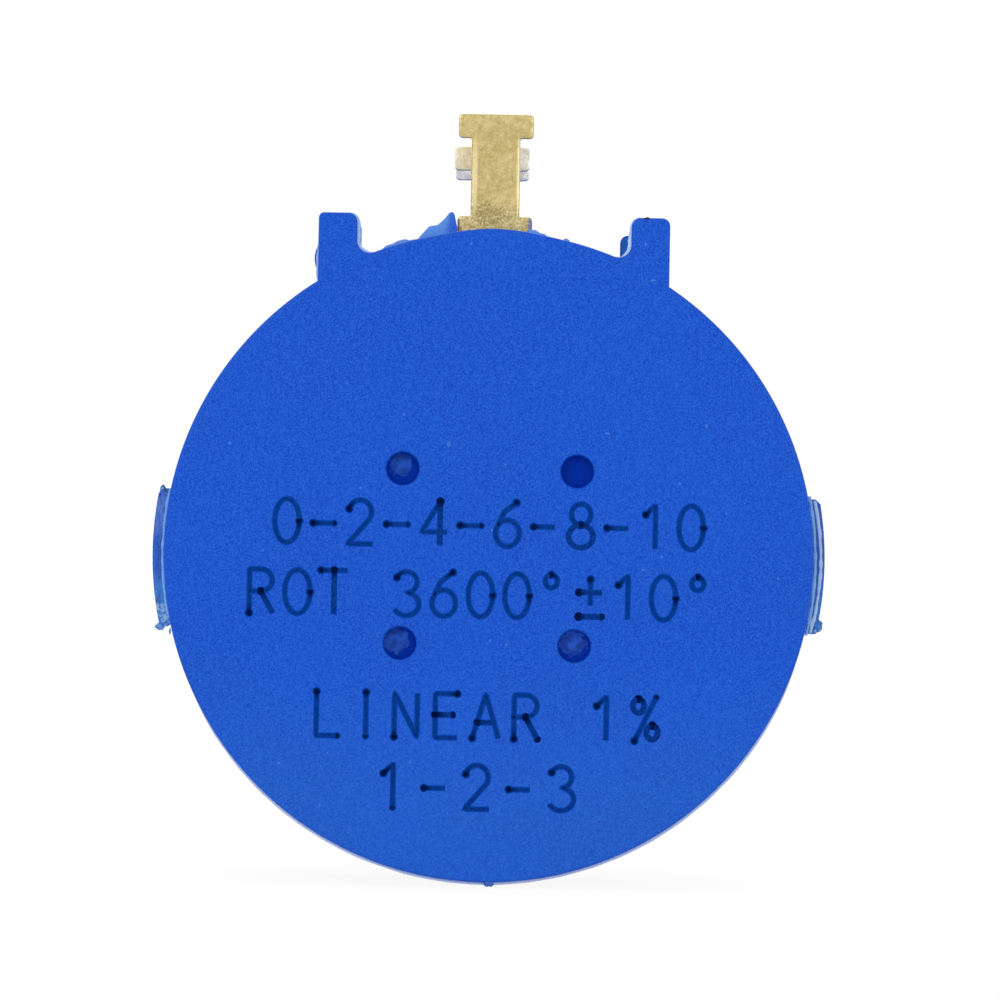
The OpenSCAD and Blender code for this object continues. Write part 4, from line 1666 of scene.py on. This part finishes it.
@dataclass
class Flash:
    """What the moulding and the assembly left behind: a gate stub, slivers at the terminal and torn arm ends.

    The slivers' outlines are (x, height above the edge), from left to right.
    """

    plan: Layout
    thick: float = 0.16
    root: float = 0.35
    fin_round: float = 0.015
    flatness: float = 0.4
    # Width, middle angle and half sweep of the painted highlight line along the lower edge
    rim_highlight_w: float = 0.1
    rim_highlight_middle: float = 176.0
    rim_highlight_half: float = 68.0
    sliver: Path = (
        (-2.62, 0.05), (-2.54, 0.13), (-2.38, 0.27), (-2.28, 0.37), (-2.2, 0.41), (-2.06, 0.4), (-1.95, 0.4),
        (-1.84, 0.48), (-1.7, 0.59), (-1.57, 0.74), (-1.52, 0.77), (-1.46, 0.775), (-1.41, 0.75),
        (-1.37, 0.66), (-1.28, 0.25),
    )
    ridge: Path = (
        (-3.86, 0.03), (-3.7, 0.12), (-3.46, 0.12), (-3.29, 0.16), (-3.05, 0.15), (-2.92, 0.08), (-2.62, 0.05)
    )
    right_fin: Path = (
        (1.16, 0.16), (1.27, 0.2), (1.42, 0.2), (1.57, 0.12), (1.72, 0.12), (1.84, 0.04)
    )
    crumb: Path = ((2.36, 0.03), (2.4, 0.1), (2.49, 0.12), (2.57, 0.08), (2.6, 0.03))

    def rim_fin(self, rises: Path, rear: float) -> Solid:
        """A fin that stands on the body's edge.

        Args:
            rises: Its outline.
            rear: Where it begins.

        Returns:
            The fin.
        """
        edge = [(x, math.sqrt(self.plan.body_r**2 - x * x)) for x, _ in rises]
        top = [(x, z + rise) for (x, z), (_, rise) in zip(edge, rises)]
        root = [(x, z - self.root) for x, z in reversed(edge)]
        rounded = (self.fin_round, self.fin_round)
        return slab(top + root, rear, rear + self.thick, rounded, rounded)

    def bead(self, radii: Sequence[float], low: float, high: float, width: float) -> Solid:
        """A fine strained line along the +X arm's rear end.

        Args:
            radii: How far out it lies at its lower end, in its middle and at its upper end.
            low: Its lower end.
            high: Its upper end.
            width: How wide it is.

        Returns:
            The line.
        """
        rear, steps, loops = self.plan.lid.low.y - 0.05, 60, []
        first, middle, last = radii
        section = arc(1, 0, 360, 8)[:-1]
        for i in range(steps + 1):
            share = i / steps
            z = low + (high - low) * share
            end = first if share < 0.5 else last
            radius = middle + (end - middle) * (2 * share - 1) ** 2
            radius += stray(middle * 9, z * 2.6, 0) * 0.016
            half = width / 2 * (0.85 + 0.6 * stray(middle * 5, z * 3.3, 7))
            x = math.sqrt(radius**2 - z * z)
            flat = half * self.flatness
            loops.append([(x + across * half, rear + along * flat, z) for across, along in section])
        return Solid.skinned(loops)

    def rim_highlight(self) -> Solid:
        """The pale line of painted highlight along the lower edge of the rear face, standing in for the white
        floor reflected in the edge.

        Returns:
            The line.
        """
        rear, thick, half_steps, pairs = self.plan.rear_y + 0.2, 0.06, 48, []
        for i in range(2 * half_steps + 1):
            share = i / half_steps - 1
            uneven = 0.85 + stray(share * 14, 0, 3) * 0.25
            outer = self.plan.body_r + self.rim_highlight_w * uneven * (1 - share**6)
            angle = self.rim_highlight_middle + share * self.rim_highlight_half
            pairs.append((around(self.plan.body_r - 0.1, angle), around(outer, angle)))
        return strip(pairs, rear, rear + thick)

    def rag(self, low: float, high: float, seed: float) -> Solid:
        """A ragged skin on the +X arm's rear end.

        Args:
            low: Its lower end.
            high: Its upper end.
            seed: What its rags are drawn from.

        Returns:
            The skin.
        """
        inner_r, outer_r = self.plan.body_r + 0.02, self.plan.arm_out_r - 0.02
        steps, corner, slope = 90, 0.36, 0.75
        outer, inner = [], []
        for i in range(steps + 1):
            z = high + (low - high) * i / steps
            ragged = stray(seed, z * 3.1, 0) * 0.03 + stray(seed, z * 9.0, 4) * 0.02
            reach = outer_r + ragged - max(0.0, z - high + corner) * slope
            outer.append((math.sqrt(reach**2 - z * z), z))
            inner.append((math.sqrt(inner_r**2 - z * z), z))
        rear = self.plan.lid.low.y - 0.03
        return slab(outer + inner[::-1], rear, rear + 0.1)

    def rim_pieces(self) -> None:
        """Builds what stands on the rear face's edge: slivers at the terminal, a painted highlight line and
        the gate.
        """
        plan = self.plan
        edge, slot_y, rear = plan.body_r, plan.floor_y, plan.rear_y
        fins = [self.rim_fin(rises, slot_y - 0.45) for rises in (self.ridge, self.right_fin, self.crumb)]
        stub = lump((0.2, rear + 0.15, -edge), (0.17, 0.12, 0.15), 0.45)
        trail = lump((-0.24, rear + 0.2, -edge - 0.03), (0.27, 0.06, 0.05), 0.35)
        present(self.rim_fin(self.sliver, slot_y - 0.3), "slot_sliver", SLIVER_BLUE)
        present(bound(*fins), "slot_flash", THIN_BLUE)
        present(self.rim_highlight(), "rim_painted_highlight", RIM_HIGHLIGHT_BLUE)
        present(stub, "gate_stub", GATE_BLUE)
        present(trail, "gate_flash", BLOOM_AND_HIGHLIGHT_BLUE)

    def arm_pieces(self) -> None:
        """Builds the strained lines and the torn ends of the latch arms."""
        edge, arm_y, far = self.plan.body_r, self.plan.lid.low.y, self.plan.arm_out_r
        (left_low, left_high), (right_low, right_high) = ARM_ENDS
        beads = (
            self.bead((11.13, 11.15, 11.14), left_low + 0.25, left_high, 0.09).mirrored(),
            self.bead((11.18, 11.175, 11.17), right_low - 0.05, right_high + 0.1, 0.12),
        )
        bloom = self.bead((11.29, 11.36, 11.31), right_low + 0.05, right_high - 0.05, 0.13)
        left = (
            self.rag(left_low, left_high - 0.02, 1.0).mirrored(),
            lump((-far + 0.33, arm_y, left_high - 0.06), (0.1, 0.05, 0.14), 0.5),
            lump((-far + 0.31, arm_y, left_low - 0.06), (0.16, 0.07, 0.12), 0.4),
            lump((-far + 0.5, arm_y, left_low), (0.14, 0.05, 0.06), 0.4),
            lump((-edge + 0.25, arm_y, left_low - 0.22), (0.035, 0.05, 0.1), 0.4),
        )
        right = (
            self.rag(right_low, right_high - 0.02, 7.0),
            lump((far - 0.22, arm_y, right_low + 0.3), (0.17, 0.07, 0.24), 0.3),
        )
        present(bound(*beads), "strained_lines", STRAINED_BLUE)
        present(bloom, "bloomed_line", BLOOM_AND_HIGHLIGHT_BLUE)
        present(bound(*left), "left_torn_end", LEFT_TEAR)
        present(bound(*right), "right_torn_end", RIGHT_TEAR)

    def build(self) -> None:
        """Builds the flash on the rim and on the arms."""
        self.rim_pieces()
        self.arm_pieces()


# --- metal pieces


@dataclass
class Bushing:
    """The turned bushing, whose thread is a right-handed ridge grown on a tube."""

    plan: Layout
    barrel_r: float = 4.7625
    pitch: float = 0.79375
    depth: float = 0.43
    crest: float = 0.16
    root: float = 0.2
    core_depth: float = 0.4
    neck_r: float = 4.4
    neck_end_y: float = 0.3
    mouth: float = 0.25
    thread_rear_y: float = 0.31
    columns: int = 144
    rows_per_turn: int = 18

    @property
    def length(self) -> float:
        """Length of the threaded tube, which ends just short of the bushing's face."""
        return self.plan.bushing.high.y - 0.005 - self.thread_rear_y

    def turning(self) -> Solid:
        """The bushing without its thread.

        Returns:
            The turned solid.
        """
        plan, neck_r, core_r = self.plan, self.neck_r, self.barrel_r - self.core_depth
        bore_r, flange_r, rear, front = (
            plan.shaft_r + plan.clearance, plan.bushing.high.z, plan.bushing.low.y, plan.bushing.high.y
        )
        corners = [
            (bore_r, rear), (flange_r, rear), (flange_r, plan.bushing_foot_y), (neck_r, plan.bushing_foot_y),
            (neck_r, self.neck_end_y), (core_r, self.neck_end_y), (core_r, front),
            (bore_r + self.mouth, front), (bore_r, front - self.mouth),
        ]
        return lathe(eased(corners, [0.05, 0.05, 0, 0, 0, 0, 0.04, 0.05, 0.05]), self.columns)

    def thread(self, shape: Shape) -> Term:
        """Grows the threaded tube.

        Args:
            shape: The tree.

        Returns:
            The tube's geometry.
        """
        pitch, depth, length = (shape.sizes[name] for name in ("Pitch", "Depth", "Length"))
        floor = shape.sizes["Major radius"] - depth
        grid = shape.step("MeshGrid", {
            "Size X": math.tau, "Size Y": self.length, "Vertices X": self.columns + 1,
            "Vertices Y": round(self.length / self.pitch * self.rows_per_turn),
        })
        parts = shape.node("ShaderNodeSeparateXYZ", {0: shape.step("InputPosition")})
        angle = Term(shape, parts.outputs[0])
        along = Term(shape, parts.outputs[1]) + self.length / 2
        phase = shape.math("FRACT", along / pitch - angle / math.tau + 20.0)
        ridge = shape.math("ABSOLUTE", phase - 0.5) * 2.0
        flank = shape.term("MapRange", {
            "Value": ridge, "From Min": self.crest, "From Max": 1 - self.root, "To Min": 1.0, "To Max": 0.0,
        })
        ends = shape.math("MINIMUM", along, length - along) + (floor - 0.01)
        radius = shape.math("MINIMUM", floor + flank * depth, ends)
        across, up = (radius * shape.math(wave, angle) for wave in ("SINE", "COSINE"))
        turned = shape.vector(across, along + self.thread_rear_y, up)
        tube = shape.step("SetPosition", {"Geometry": grid, "Position": turned})
        return shape.step("MergeByDistance", {"Geometry": tube, "Distance": 1e-4})

    def build(self) -> None:
        """Builds the bushing."""
        sizes = {
            "Pitch": self.pitch, "Depth": self.depth, "Major radius": self.barrel_r, "Length": self.length
        }
        thread = grown("bushing_thread", self.thread, sizes, NICKEL_PLATE)
        present(bound(self.turning(), thread), "threaded_bushing", NICKEL_PLATE, "bushing", smooth=50.0)


@dataclass
class Shaft:
    """The turned shaft with its journals, ring groove, relief and screwdriver slot."""

    plan: Layout
    groove_r: float = 2.7
    relief_r: float = 2.895
    relief_len: float = 0.7
    tip_chamfer: float = 0.4
    slot_half: float = 0.6
    slot_depth: float = 1.2
    edge: float = 0.05

    def profile(self) -> list[Point]:
        """Draws the shaft.

        Returns:
            Its outline from its rear end to its tip, as (radius, y).
        """
        plan, ring, full_r = self.plan, Box.of("retaining_ring"), self.plan.shaft_r
        rear, tip, shoulder = plan.shaft.low.y, plan.shaft.high.y, plan.strip_front_y + 0.5
        groove_rear, groove_front = ring.low.y - plan.clearance, ring.high.y + plan.clearance
        relief_front = plan.bushing.high.y - 0.1
        relief_rear = relief_front - self.relief_len
        corners = [
            (plan.journal_r, rear), (plan.journal_r, shoulder), (plan.seat_r, shoulder),
            (plan.seat_r, groove_rear), (self.groove_r, groove_rear), (self.groove_r, groove_front),
            (full_r, groove_front), (full_r, relief_rear), (self.relief_r, relief_rear),
            (self.relief_r, relief_front), (full_r, relief_front), (full_r, tip - self.tip_chamfer),
            (full_r - self.tip_chamfer, tip),
        ]
        return eased([(0, rear), *corners, (0, tip)], [0] + [self.edge] * len(corners) + [0])

    def build(self) -> None:
        """Builds the shaft."""
        tip, reach = self.plan.shaft.high.y, self.plan.shaft_r + BEYOND
        slot = block((-reach, tip - self.slot_depth, -self.slot_half), (reach, tip + BEYOND, self.slot_half))
        shaft = lathe(self.profile(), 160).cut(slot).soften(self.edge)
        present(shaft, "turned_shaft", SHAFT_STEEL, "shaft", "rotor")


@dataclass
class Terminals:
    """The stamped solder terminals: a brass one for the wiper and two tinned ones for the element's ends."""

    plan: Layout
    flange_half: float = 1.28
    flange_h: float = 0.82
    stem_half: float = 0.83
    corner_round: float = 0.14
    notch_round: float = 0.065
    roll: Point = (0.1, 0.05)
    tinned_roll: Point = (0.03, 0.03)
    burr: float = 0.03
    tinned_shift: float = -0.13
    foot_depth: float = 0.8

    def lug(self, box: Box, roll: Point, foot: float, tail: float = 0.0, shift: float = 0.0) -> Solid:
        """A notched lug.

        Args:
            box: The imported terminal's box.
            roll: Width and depth of the rolled edge on its rear side.
            foot: Where the lower flange ends.
            tail: Where the strip below the lower flange ends, if it has one.
            shift: How far its upper flange stands to one side.

        Returns:
            The lug.
        """
        wide, slim, top = self.flange_half, self.stem_half, box.high.z
        outer, inner = self.corner_round, self.notch_round
        flange_foot, notch_foot = top - self.flange_h, top - self.plan.notch_len
        side = [
            (wide, top, outer), (wide, flange_foot, outer), (slim, flange_foot, inner),
            (slim, notch_foot, inner), (wide, notch_foot, outer), (wide, foot, outer),
        ]
        if tail:
            side += [(slim, foot, inner), (slim, tail, outer)]
        corners = side + [(-x, z, size) for x, z, size in reversed(side)]
        places = [(x + shift if z > top - 1 and abs(x) > slim else x, z) for x, z, _ in corners]
        outline = eased(places, [size for *_, size in corners], 5)
        return slab(outline, box.low.y, box.high.y, roll, (self.burr, self.burr))

    def build(self) -> None:
        """Builds the three terminals."""
        wiper = Box.of("wiper_terminal")
        brass = self.lug(wiper, self.roll, self.plan.bore_r - self.foot_depth, wiper.low.z)
        present(brass, "wiper_lug", BARE_BRASS, "wiper_terminal")
        for side, finish in (("ccw", STREAKED_TIN), ("cw", TINNED_BRASS)):
            box = Box.of(f"{side}_terminal")
            lug = self.lug(box, self.tinned_roll, box.low.z, shift=self.tinned_shift)
            present(lug, f"{side}_lug", finish, f"{side}_terminal")


@dataclass
class Element:
    """Resistance wire wound round an insulated mandrel, which is coiled into a right-handed helix."""

    plan: Layout
    pitch: float = 1.2
    turn_gap: float = 0.1
    turns: float = 10.0
    spare: float = 8.0
    windings: int = 1500
    points_per_winding: int = 8
    mandrel_points: int = 640
    wire_sides: int = 4
    mandrel_sides: int = 12
    wire_r: float = 0.07
    wire_sunk: float = 0.4

    def helix(self, shape: Shape, count: int, wound: bool) -> Term:
        """Bends a line of points into the helix, or winds it round the helix.

        Args:
            shape: The tree.
            count: How many points the line has.
            wound: Whether it is wound round the helix.

        Returns:
            The bent line.
        """
        size = shape.sizes
        points = shape.step("ResampleCurve", {"Curve": shape.step("CurvePrimitiveLine"), "Count": count})
        share = shape.step("SplineParameter", output="Factor")
        turn = size["First angle"] - share * size["Sweep"]
        out, up = size["Coil radius"], size["First y"] + turn * size["Pitch"] / math.tau
        if wound:
            angle = share * size["Windings"] * math.tau
            out = out + shape.math("COSINE", angle) * size["Section radius"]
            up = up + shape.math("SINE", angle) * size["Section radius"]
        place = shape.vector(out * shape.math("SINE", turn), up, out * shape.math("COSINE", turn))
        return shape.step("SetPosition", {"Geometry": points, "Position": place})

    def winding(self, shape: Shape) -> Term:
        """Grows the wire and its mandrel.

        Args:
            shape: The tree.

        Returns:
            Their geometry.
        """
        wire_r, section_r = shape.sizes["Wire radius"], shape.sizes["Section radius"]
        wire = self.helix(shape, self.windings * self.points_per_winding, True)
        core = self.helix(shape, self.mandrel_points, False)
        swept = []
        for path, sides, radius in (
            (wire, self.wire_sides, wire_r),
            (core, self.mandrel_sides, section_r - wire_r * self.wire_sunk),
        ):
            section = shape.step("CurvePrimitiveCircle", {"Resolution": sides, "Radius": radius})
            inputs = {"Curve": path, "Profile Curve": section, "Fill Caps": True}
            swept.append(shape.step("CurveToMesh", inputs))
        return shape.joined(*swept)

    def build(self) -> None:
        """Builds the element."""
        half = (self.pitch - self.turn_gap) / 2
        spare = math.radians(self.spare)
        sizes = {
            "Coil radius": self.plan.element_out_r - half,
            "Section radius": half - self.wire_r,
            "Wire radius": self.wire_r,
            "Pitch": self.pitch,
            "First y": self.plan.element.high.y - half - self.pitch * self.spare / 360,
            "First angle": spare,
            "Sweep": self.turns * math.tau + 2 * spare,
            "Windings": float(self.windings),
        }
        element = grown("element_winding", self.winding, sizes, RESISTANCE_WIRE)
        present(element, "wound_element", RESISTANCE_WIRE, "resistance_element", smooth=180.0)


@dataclass
class Works:
    """The small pieces inside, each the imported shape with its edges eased."""

    nodes: dict[str, Object]
    parts: tuple[tuple[str, str, Finish, str, float], ...] = (
        ("rotor_drum", "rotor", ROTOR_BLACK, "drum_moulding", 0.12),
        ("wiper_carriage", "carriage", CARRIAGE_WHITE, "carriage_moulding", 0.05),
        ("retaining_ring", "rotor", SPRING_STEEL, "split_ring", 0.05),
        ("thrust_washer", "rotor", INNER_BRASS, "flat_washer", 0.04),
        ("collector_rail", "rotor", INNER_BRASS, "rail_strip", 0.03),
        ("ring_brush", "rotor", CONTACT_ALLOY, "ring_spring", 0.02),
        ("coil_contact", "carriage", CONTACT_ALLOY, "fork_spring", 0.02),
        ("rail_brush", "carriage", CONTACT_ALLOY, "bow_spring", 0.02),
        ("slip_ring", "housing", INNER_BRASS, "contact_ring", 0.04),
        ("ccw_end_clip", "housing", CLIP_NICKEL, "front_clip", 0.02),
        ("cw_end_clip", "housing", CLIP_NICKEL, "rear_clip", 0.02),
    )

    def build(self) -> None:
        """Builds the pieces."""
        for node, body, finish, name, ease in self.parts:
            present(Solid.of_node(self.nodes[node]).soften(ease), name, finish, node, body)


# --- marking


def bow(centre: Point, half: Point, start: float, end: float, steps: int = 18) -> list[Point]:
    """A stretch of an ellipse, with its half width and half height."""
    return [(centre[0] + x * half[0], centre[1] + z * half[1]) for x, z in arc(1.0, start, end, steps)]


# The strokes of each character, in a cell as high as 1
GLYPHS: dict[str, list[list[Point]]] = {
    "0": [bow((0.3, 0.5), (0.28, 0.5), 90, 450, 30)],
    "1": [[(0.1, 0.78), (0.32, 1), (0.32, 0)]],
    "2": [bow((0.29, 0.72), (0.26, 0.28), -75, 120) + [(0.02, 0), (0.58, 0)]],
    "3": [bow((0.28, 0.76), (0.24, 0.24), -65, 180) + bow((0.28, 0.26), (0.29, 0.26), 0, 245)],
    "4": [[(0.44, 1), (0.02, 0.3), (0.6, 0.3)], [(0.44, 1), (0.44, 0)]],
    "6": [[(0.5, 1), (0.22, 0.78)] + bow((0.3, 0.3), (0.27, 0.3), -62, 298, 24)],
    "8": [bow((0.3, 0.76), (0.22, 0.24), 180, 540, 24), bow((0.3, 0.26), (0.28, 0.26), 0, 360, 24)],
    "A": [[(0, 0), (0.3, 1), (0.6, 0)], [(0.12, 0.36), (0.48, 0.36)]],
    "E": [[(0.56, 1), (0.06, 1), (0.06, 0), (0.56, 0)], [(0.06, 0.52), (0.46, 0.52)]],
    "I": [[(0.3, 1), (0.3, 0)]],
    "L": [[(0.08, 1), (0.08, 0), (0.56, 0)]],
    "N": [[(0.04, 0), (0.04, 1), (0.56, 0), (0.56, 1)]],
    "O": [bow((0.3, 0.5), (0.29, 0.5), 90, 450, 30)],
    "R": [
        [(0.04, 0), (0.04, 1)] + bow((0.3, 0.75), (0.26, 0.25), 0, 180, 12) + [(0.04, 0.5)],
        [(0.3, 0.5), (0.58, 0)],
    ],
    "T": [[(0, 1), (0.6, 1)], [(0.3, 1), (0.3, 0)]],
    "-": [[(0.06, 0.46), (0.54, 0.46)]],
    "±": [[(0.3, 0.9), (0.3, 0.3)], [(0.04, 0.6), (0.56, 0.6)], [(0.04, 0.05), (0.56, 0.05)]],
    "°": [bow((0.24, 0.84), (0.14, 0.15), 0, 360)],
    "%": [
        [(0.06, 0), (0.54, 1)],
        bow((0.14, 0.8), (0.13, 0.16), 0, 360),
        bow((0.46, 0.2), (0.13, 0.16), 0, 360),
    ],
    " ": [],
}


@dataclass(frozen=True)
class Line:
    """One line of the marking: its text, its width, its middle and its baseline."""

    text: str
    width: float
    middle_x: float
    base_z: float


@dataclass
class Marking:
    """Plain numbers and words in drawn strokes on the rear face."""

    plan: Layout
    cap_height: float = 1.5
    glyph_w: float = 0.6
    stroke_w: float = 0.208
    stroke_t: float = 0.012
    layer_t: float = 0.003
    step_len: float = 0.06
    section_sides: int = 10
    dot_w: float = 0.31
    end_dots: float = 0.4
    fade: float = 0.45
    blackness: tuple[float, float, float] = (0.8, 0.95, 0.7)
    lines: tuple[Line, ...] = (
        Line("0-2-4-6-8-10", 14.7, 0.0, 0.38),
        Line("ROT 3600°±10°", 15.9, -0.25, -2.04),
        Line("LINEAR 1%", 11.8, 0.0, -6.18),
        Line("1-2-3", 6.7, -0.25, -8.6),
    )

    def strokes(self) -> Curve:
        """Draws all strokes, with X across and Y up, each layer of a character just above the one before.

        Returns:
            The strokes as one curve.
        """
        curve = bpy.data.curves.new("strokes", "CURVE")
        curve.dimensions = "3D"
        for line in self.lines:
            glyph_w = self.glyph_w * self.cap_height
            pitch = (line.width - glyph_w) / (len(line.text) - 1)
            for i, letter in enumerate(line.text):
                left = line.middle_x - line.width / 2 + i * pitch
                for layer, stroke in enumerate(GLYPHS[letter]):
                    spline = curve.splines.new("POLY")
                    spline.points.add(len(stroke) - 1)
                    lift = layer * self.layer_t
                    for point, (x, z) in zip(spline.points, stroke):
                        point.co = (left + x * self.cap_height, line.base_z + z * self.cap_height, lift, 1.0)
        return curve

    def ribbons(self, shape: Shape) -> Term:
        """Grows a ribbon on each stroke and dots at its ends, and stores how long the pen dwelt.

        Args:
            shape: The tree, which starts from the strokes.

        Returns:
            The ribbons and dots.
        """
        size = shape.sizes
        run_black, start_black, end_black = self.blackness
        points = shape.step("ResampleCurve", {"Curve": shape.seed, "Length": self.step_len}, mode="LENGTH")
        dwell = shape.map(shape.step("SplineParameter", output="Length"), 0.0, self.fade, run_black, 0.0)
        inked = self.dwelt(shape, points, dwell)
        level = shape.step("SetCurveNormal", {"Curve": inked}, mode="Z_UP")
        circle = shape.step("CurvePrimitiveCircle", {"Resolution": self.section_sides, "Radius": 1.0})
        flat = shape.vector(size["Stroke width"] / 2.0, size["Stroke height"], 1.0)
        section = shape.step("Transform", {"Geometry": circle, "Scale": flat})
        parts = [shape.step("CurveToMesh", {"Curve": level, "Profile Curve": section, "Fill Caps": True})]
        ball = shape.step("MeshUVSphere", {"Segments": 16, "Rings": 8, "Radius": 1.0})
        starts, ends = (
            shape.step("CurveEndpointSelection", {"Start Size": start, "End Size": end})
            for start, end in ((1, 0), (0, 1))
        )
        draw = {"Probability": self.end_dots, "Seed": 3}
        chance = Term(shape, shape.node("FunctionNodeRandomValue", draw, data_type="BOOLEAN").outputs[3])
        both = shape.node("FunctionNodeBooleanMath", {0: ends, 1: chance}, operation="AND")
        some = Term(shape, both.outputs[0])
        for chosen, part, lift, blackness in ((starts, 2.0, 1.06, start_black), (some, 2.4, 1.03, end_black)):
            radius = size["Dot width"] / part
            scale = shape.vector(radius, radius, size["Stroke height"] * lift)
            inputs = {"Points": inked, "Selection": chosen, "Instance": ball, "Scale": scale}
            dots = shape.step("RealizeInstances", {"Geometry": shape.step("InstanceOnPoints", inputs)})
            parts.append(self.dwelt(shape, dots, blackness))
        return shape.joined(*parts)

    def dwelt(self, shape: Shape, part: Term, dwell: Number) -> Term:
        """Stores how long the pen dwelt on a geometry."""
        return shape.step("StoreNamedAttribute", {"Geometry": part, "Name": INK.dwell_name, "Value": dwell})

    def build(self) -> None:
        """Builds the marking."""
        sizes = {"Stroke width": self.stroke_w, "Stroke height": self.stroke_t, "Dot width": self.dot_w}
        marking = grown("marking_strokes", self.ribbons, sizes, INK, self.strokes())
        onto_face = Matrix.Translation((0, self.plan.rear_y, 0)) @ Matrix.Rotation(math.pi / 2, 4, "X")
        marking.mesh.transform(onto_face)
        present(marking, "rear_marking", INK, smooth=60.0)


# --- studio


@dataclass(frozen=True)
class Lamp:
    """A soft square lamp, invisible to the camera, that faces the object, with its sizes in metres."""

    name: str
    place: tuple[float, float, float]
    width: float
    share: float

    def build(self, centre: Vector) -> None:
        """Adds the lamp, as bright as lights a white face turned to it to its share of white.

        Args:
            centre: Where it points.
        """
        light = bpy.data.lights.new(self.name, "AREA")
        lamp = placed(self.name, light)
        lamp.location = self.place
        away = Vector(self.place) - centre
        lamp.rotation_euler = away.to_track_quat("Z", "Y").to_euler()
        light.size = self.width
        light.energy = math.pi**2 * away.length_squared * self.share
        lamp.visible_camera = False


@dataclass
class Studio:
    """A plain white room with soft light from the upper left, and a long lens square on the rear face.

    The floor's size and the stretch over which its shadow fades are in metres.
    """

    plan: Layout
    eye: Point = (1.17, 1.0)
    aim: Point = (0.357, 1.963)
    distance: float = 600.0
    frame_width: float = 34.13
    tilt: float = 1.05
    ambient: float = 0.68
    shadow_share: float = 0.08
    fade: Point = (0.012, 0.04)
    fade_narrow: float = 3.0
    floor_gap: float = 0.2
    floor_size: float = 6.0
    lamps: tuple[Lamp, ...] = (
        Lamp("key_lamp", (-0.25, -0.38, 0.2), 0.26, 0.2),
        Lamp("fill_lamp", (0.3, -0.4, 0.0), 0.3, 0.2),
        Lamp("top_lamp", (0.0, 0.15, 0.4), 0.3, 0.12),
    )

    def lens(self) -> None:
        """Sets up the camera."""
        data = bpy.data.cameras.new("camera")
        camera = placed("camera", data)
        eye = Vector((self.eye[0], self.plan.rear_y - self.distance, self.eye[1])) * MM
        target = Vector((self.aim[0], self.plan.rear_y, self.aim[1])) * MM
        ahead = (target - eye).normalized()
        tilt = math.radians(self.tilt)
        right = ahead.cross(Vector((-math.sin(tilt), 0.0, math.cos(tilt)))).normalized()
        turn = Matrix((right, right.cross(ahead), -ahead)).transposed().to_4x4()
        camera.matrix_world = Matrix.Translation(eye) @ turn
        data.lens = data.sensor_width * self.distance / self.frame_width
        data.clip_start, data.clip_end = 0.01, 10.0
        bpy.context.scene.camera = camera

    def seen(self, graph: Graph) -> Term:
        """1 for what the camera sees directly, in a reflection or through glass.

        Args:
            graph: The tree that asks.

        Returns:
            1 or 0.
        """
        path = graph.node("ShaderNodeLightPath")
        kinds = [Term(graph, path.outputs[f"Is {kind} Ray"]) for kind in ("Camera", "Glossy", "Transmission")]
        return graph.math("MAXIMUM", kinds[0], graph.math("MAXIMUM", kinds[1], kinds[2]))

    def sky(self) -> None:
        """Sets up the white surroundings."""
        world = bpy.data.worlds.new("white_room")
        world.use_nodes = True
        graph = Graph(world.node_tree)
        strength = self.seen(graph) * (1 - self.ambient) + self.ambient
        white = graph.term("Background", {"Color": (1, 1, 1, 1), "Strength": strength})
        graph.node("ShaderNodeOutputWorld", {"Surface": white})
        bpy.context.scene.world = world

    def whiteness(self) -> Material:
        """The floor's material, which keeps a faint shadow near the object and is plain white further off.

        Returns:
            The material.
        """
        material = bpy.data.materials.new("white_floor")
        material.use_nodes = True
        graph = Graph(material.node_tree)
        matte = graph.term("BsdfDiffuse", {"Color": (0.9, 0.9, 0.9, 1)})
        white = graph.term("Emission", {"Color": (1, 1, 1, 1), "Strength": 1.0})
        place = graph.term("TexCoord", output="Object")
        narrow = {0: place, 1: (self.fade_narrow, 1.0, 1.0)}
        near = graph.term("VectorMath", narrow, operation="MULTIPLY")
        away = graph.term("VectorMath", {0: near}, "Value", operation="LENGTH")
        share = self.seen(graph) * graph.map(away, *self.fade, 1 - self.shadow_share, 1.0)
        surface = graph.term("MixShader", {0: share, 1: matte, 2: white})
        graph.node("ShaderNodeOutputMaterial", {"Surface": surface})
        return material

    def floor(self) -> None:
        """Lays the floor."""
        half, level = self.floor_size / 2, (self.plan.housing.low.z - self.floor_gap) * MM
        mesh = bpy.data.meshes.new("floor")
        corners = [(-half, -half, level), (half, -half, level), (half, half, level), (-half, half, level)]
        mesh.from_pydata(corners, [], [(0, 1, 2, 3)])
        mesh.materials.append(self.whiteness())
        placed("floor", mesh)

    def build(self) -> None:
        """Builds the room, its lamps and the camera."""
        self.lens()
        self.sky()
        self.floor()
        centre = Vector((0, (self.plan.rear_y + self.plan.shaft.high.y) / 2, 0)) * MM
        for lamp in self.lamps:
            lamp.build(centre)
        bpy.context.scene.view_settings.view_transform = "Standard"


def main() -> None:
    """Builds the object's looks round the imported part, and the studio."""
    logging.basicConfig(level=logging.INFO, format="%(name)s: %(message)s")
    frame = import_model()
    plan = Layout.read()
    for part in (
        Housing(plan), Lid(plan), Flash(plan), Marking(plan), Bushing(plan), Shaft(plan), Terminals(plan),
        Element(plan), Works(frame["nodes"]), Studio(plan),
    ):
        part.build()


if __name__ == "__main__":
    main()
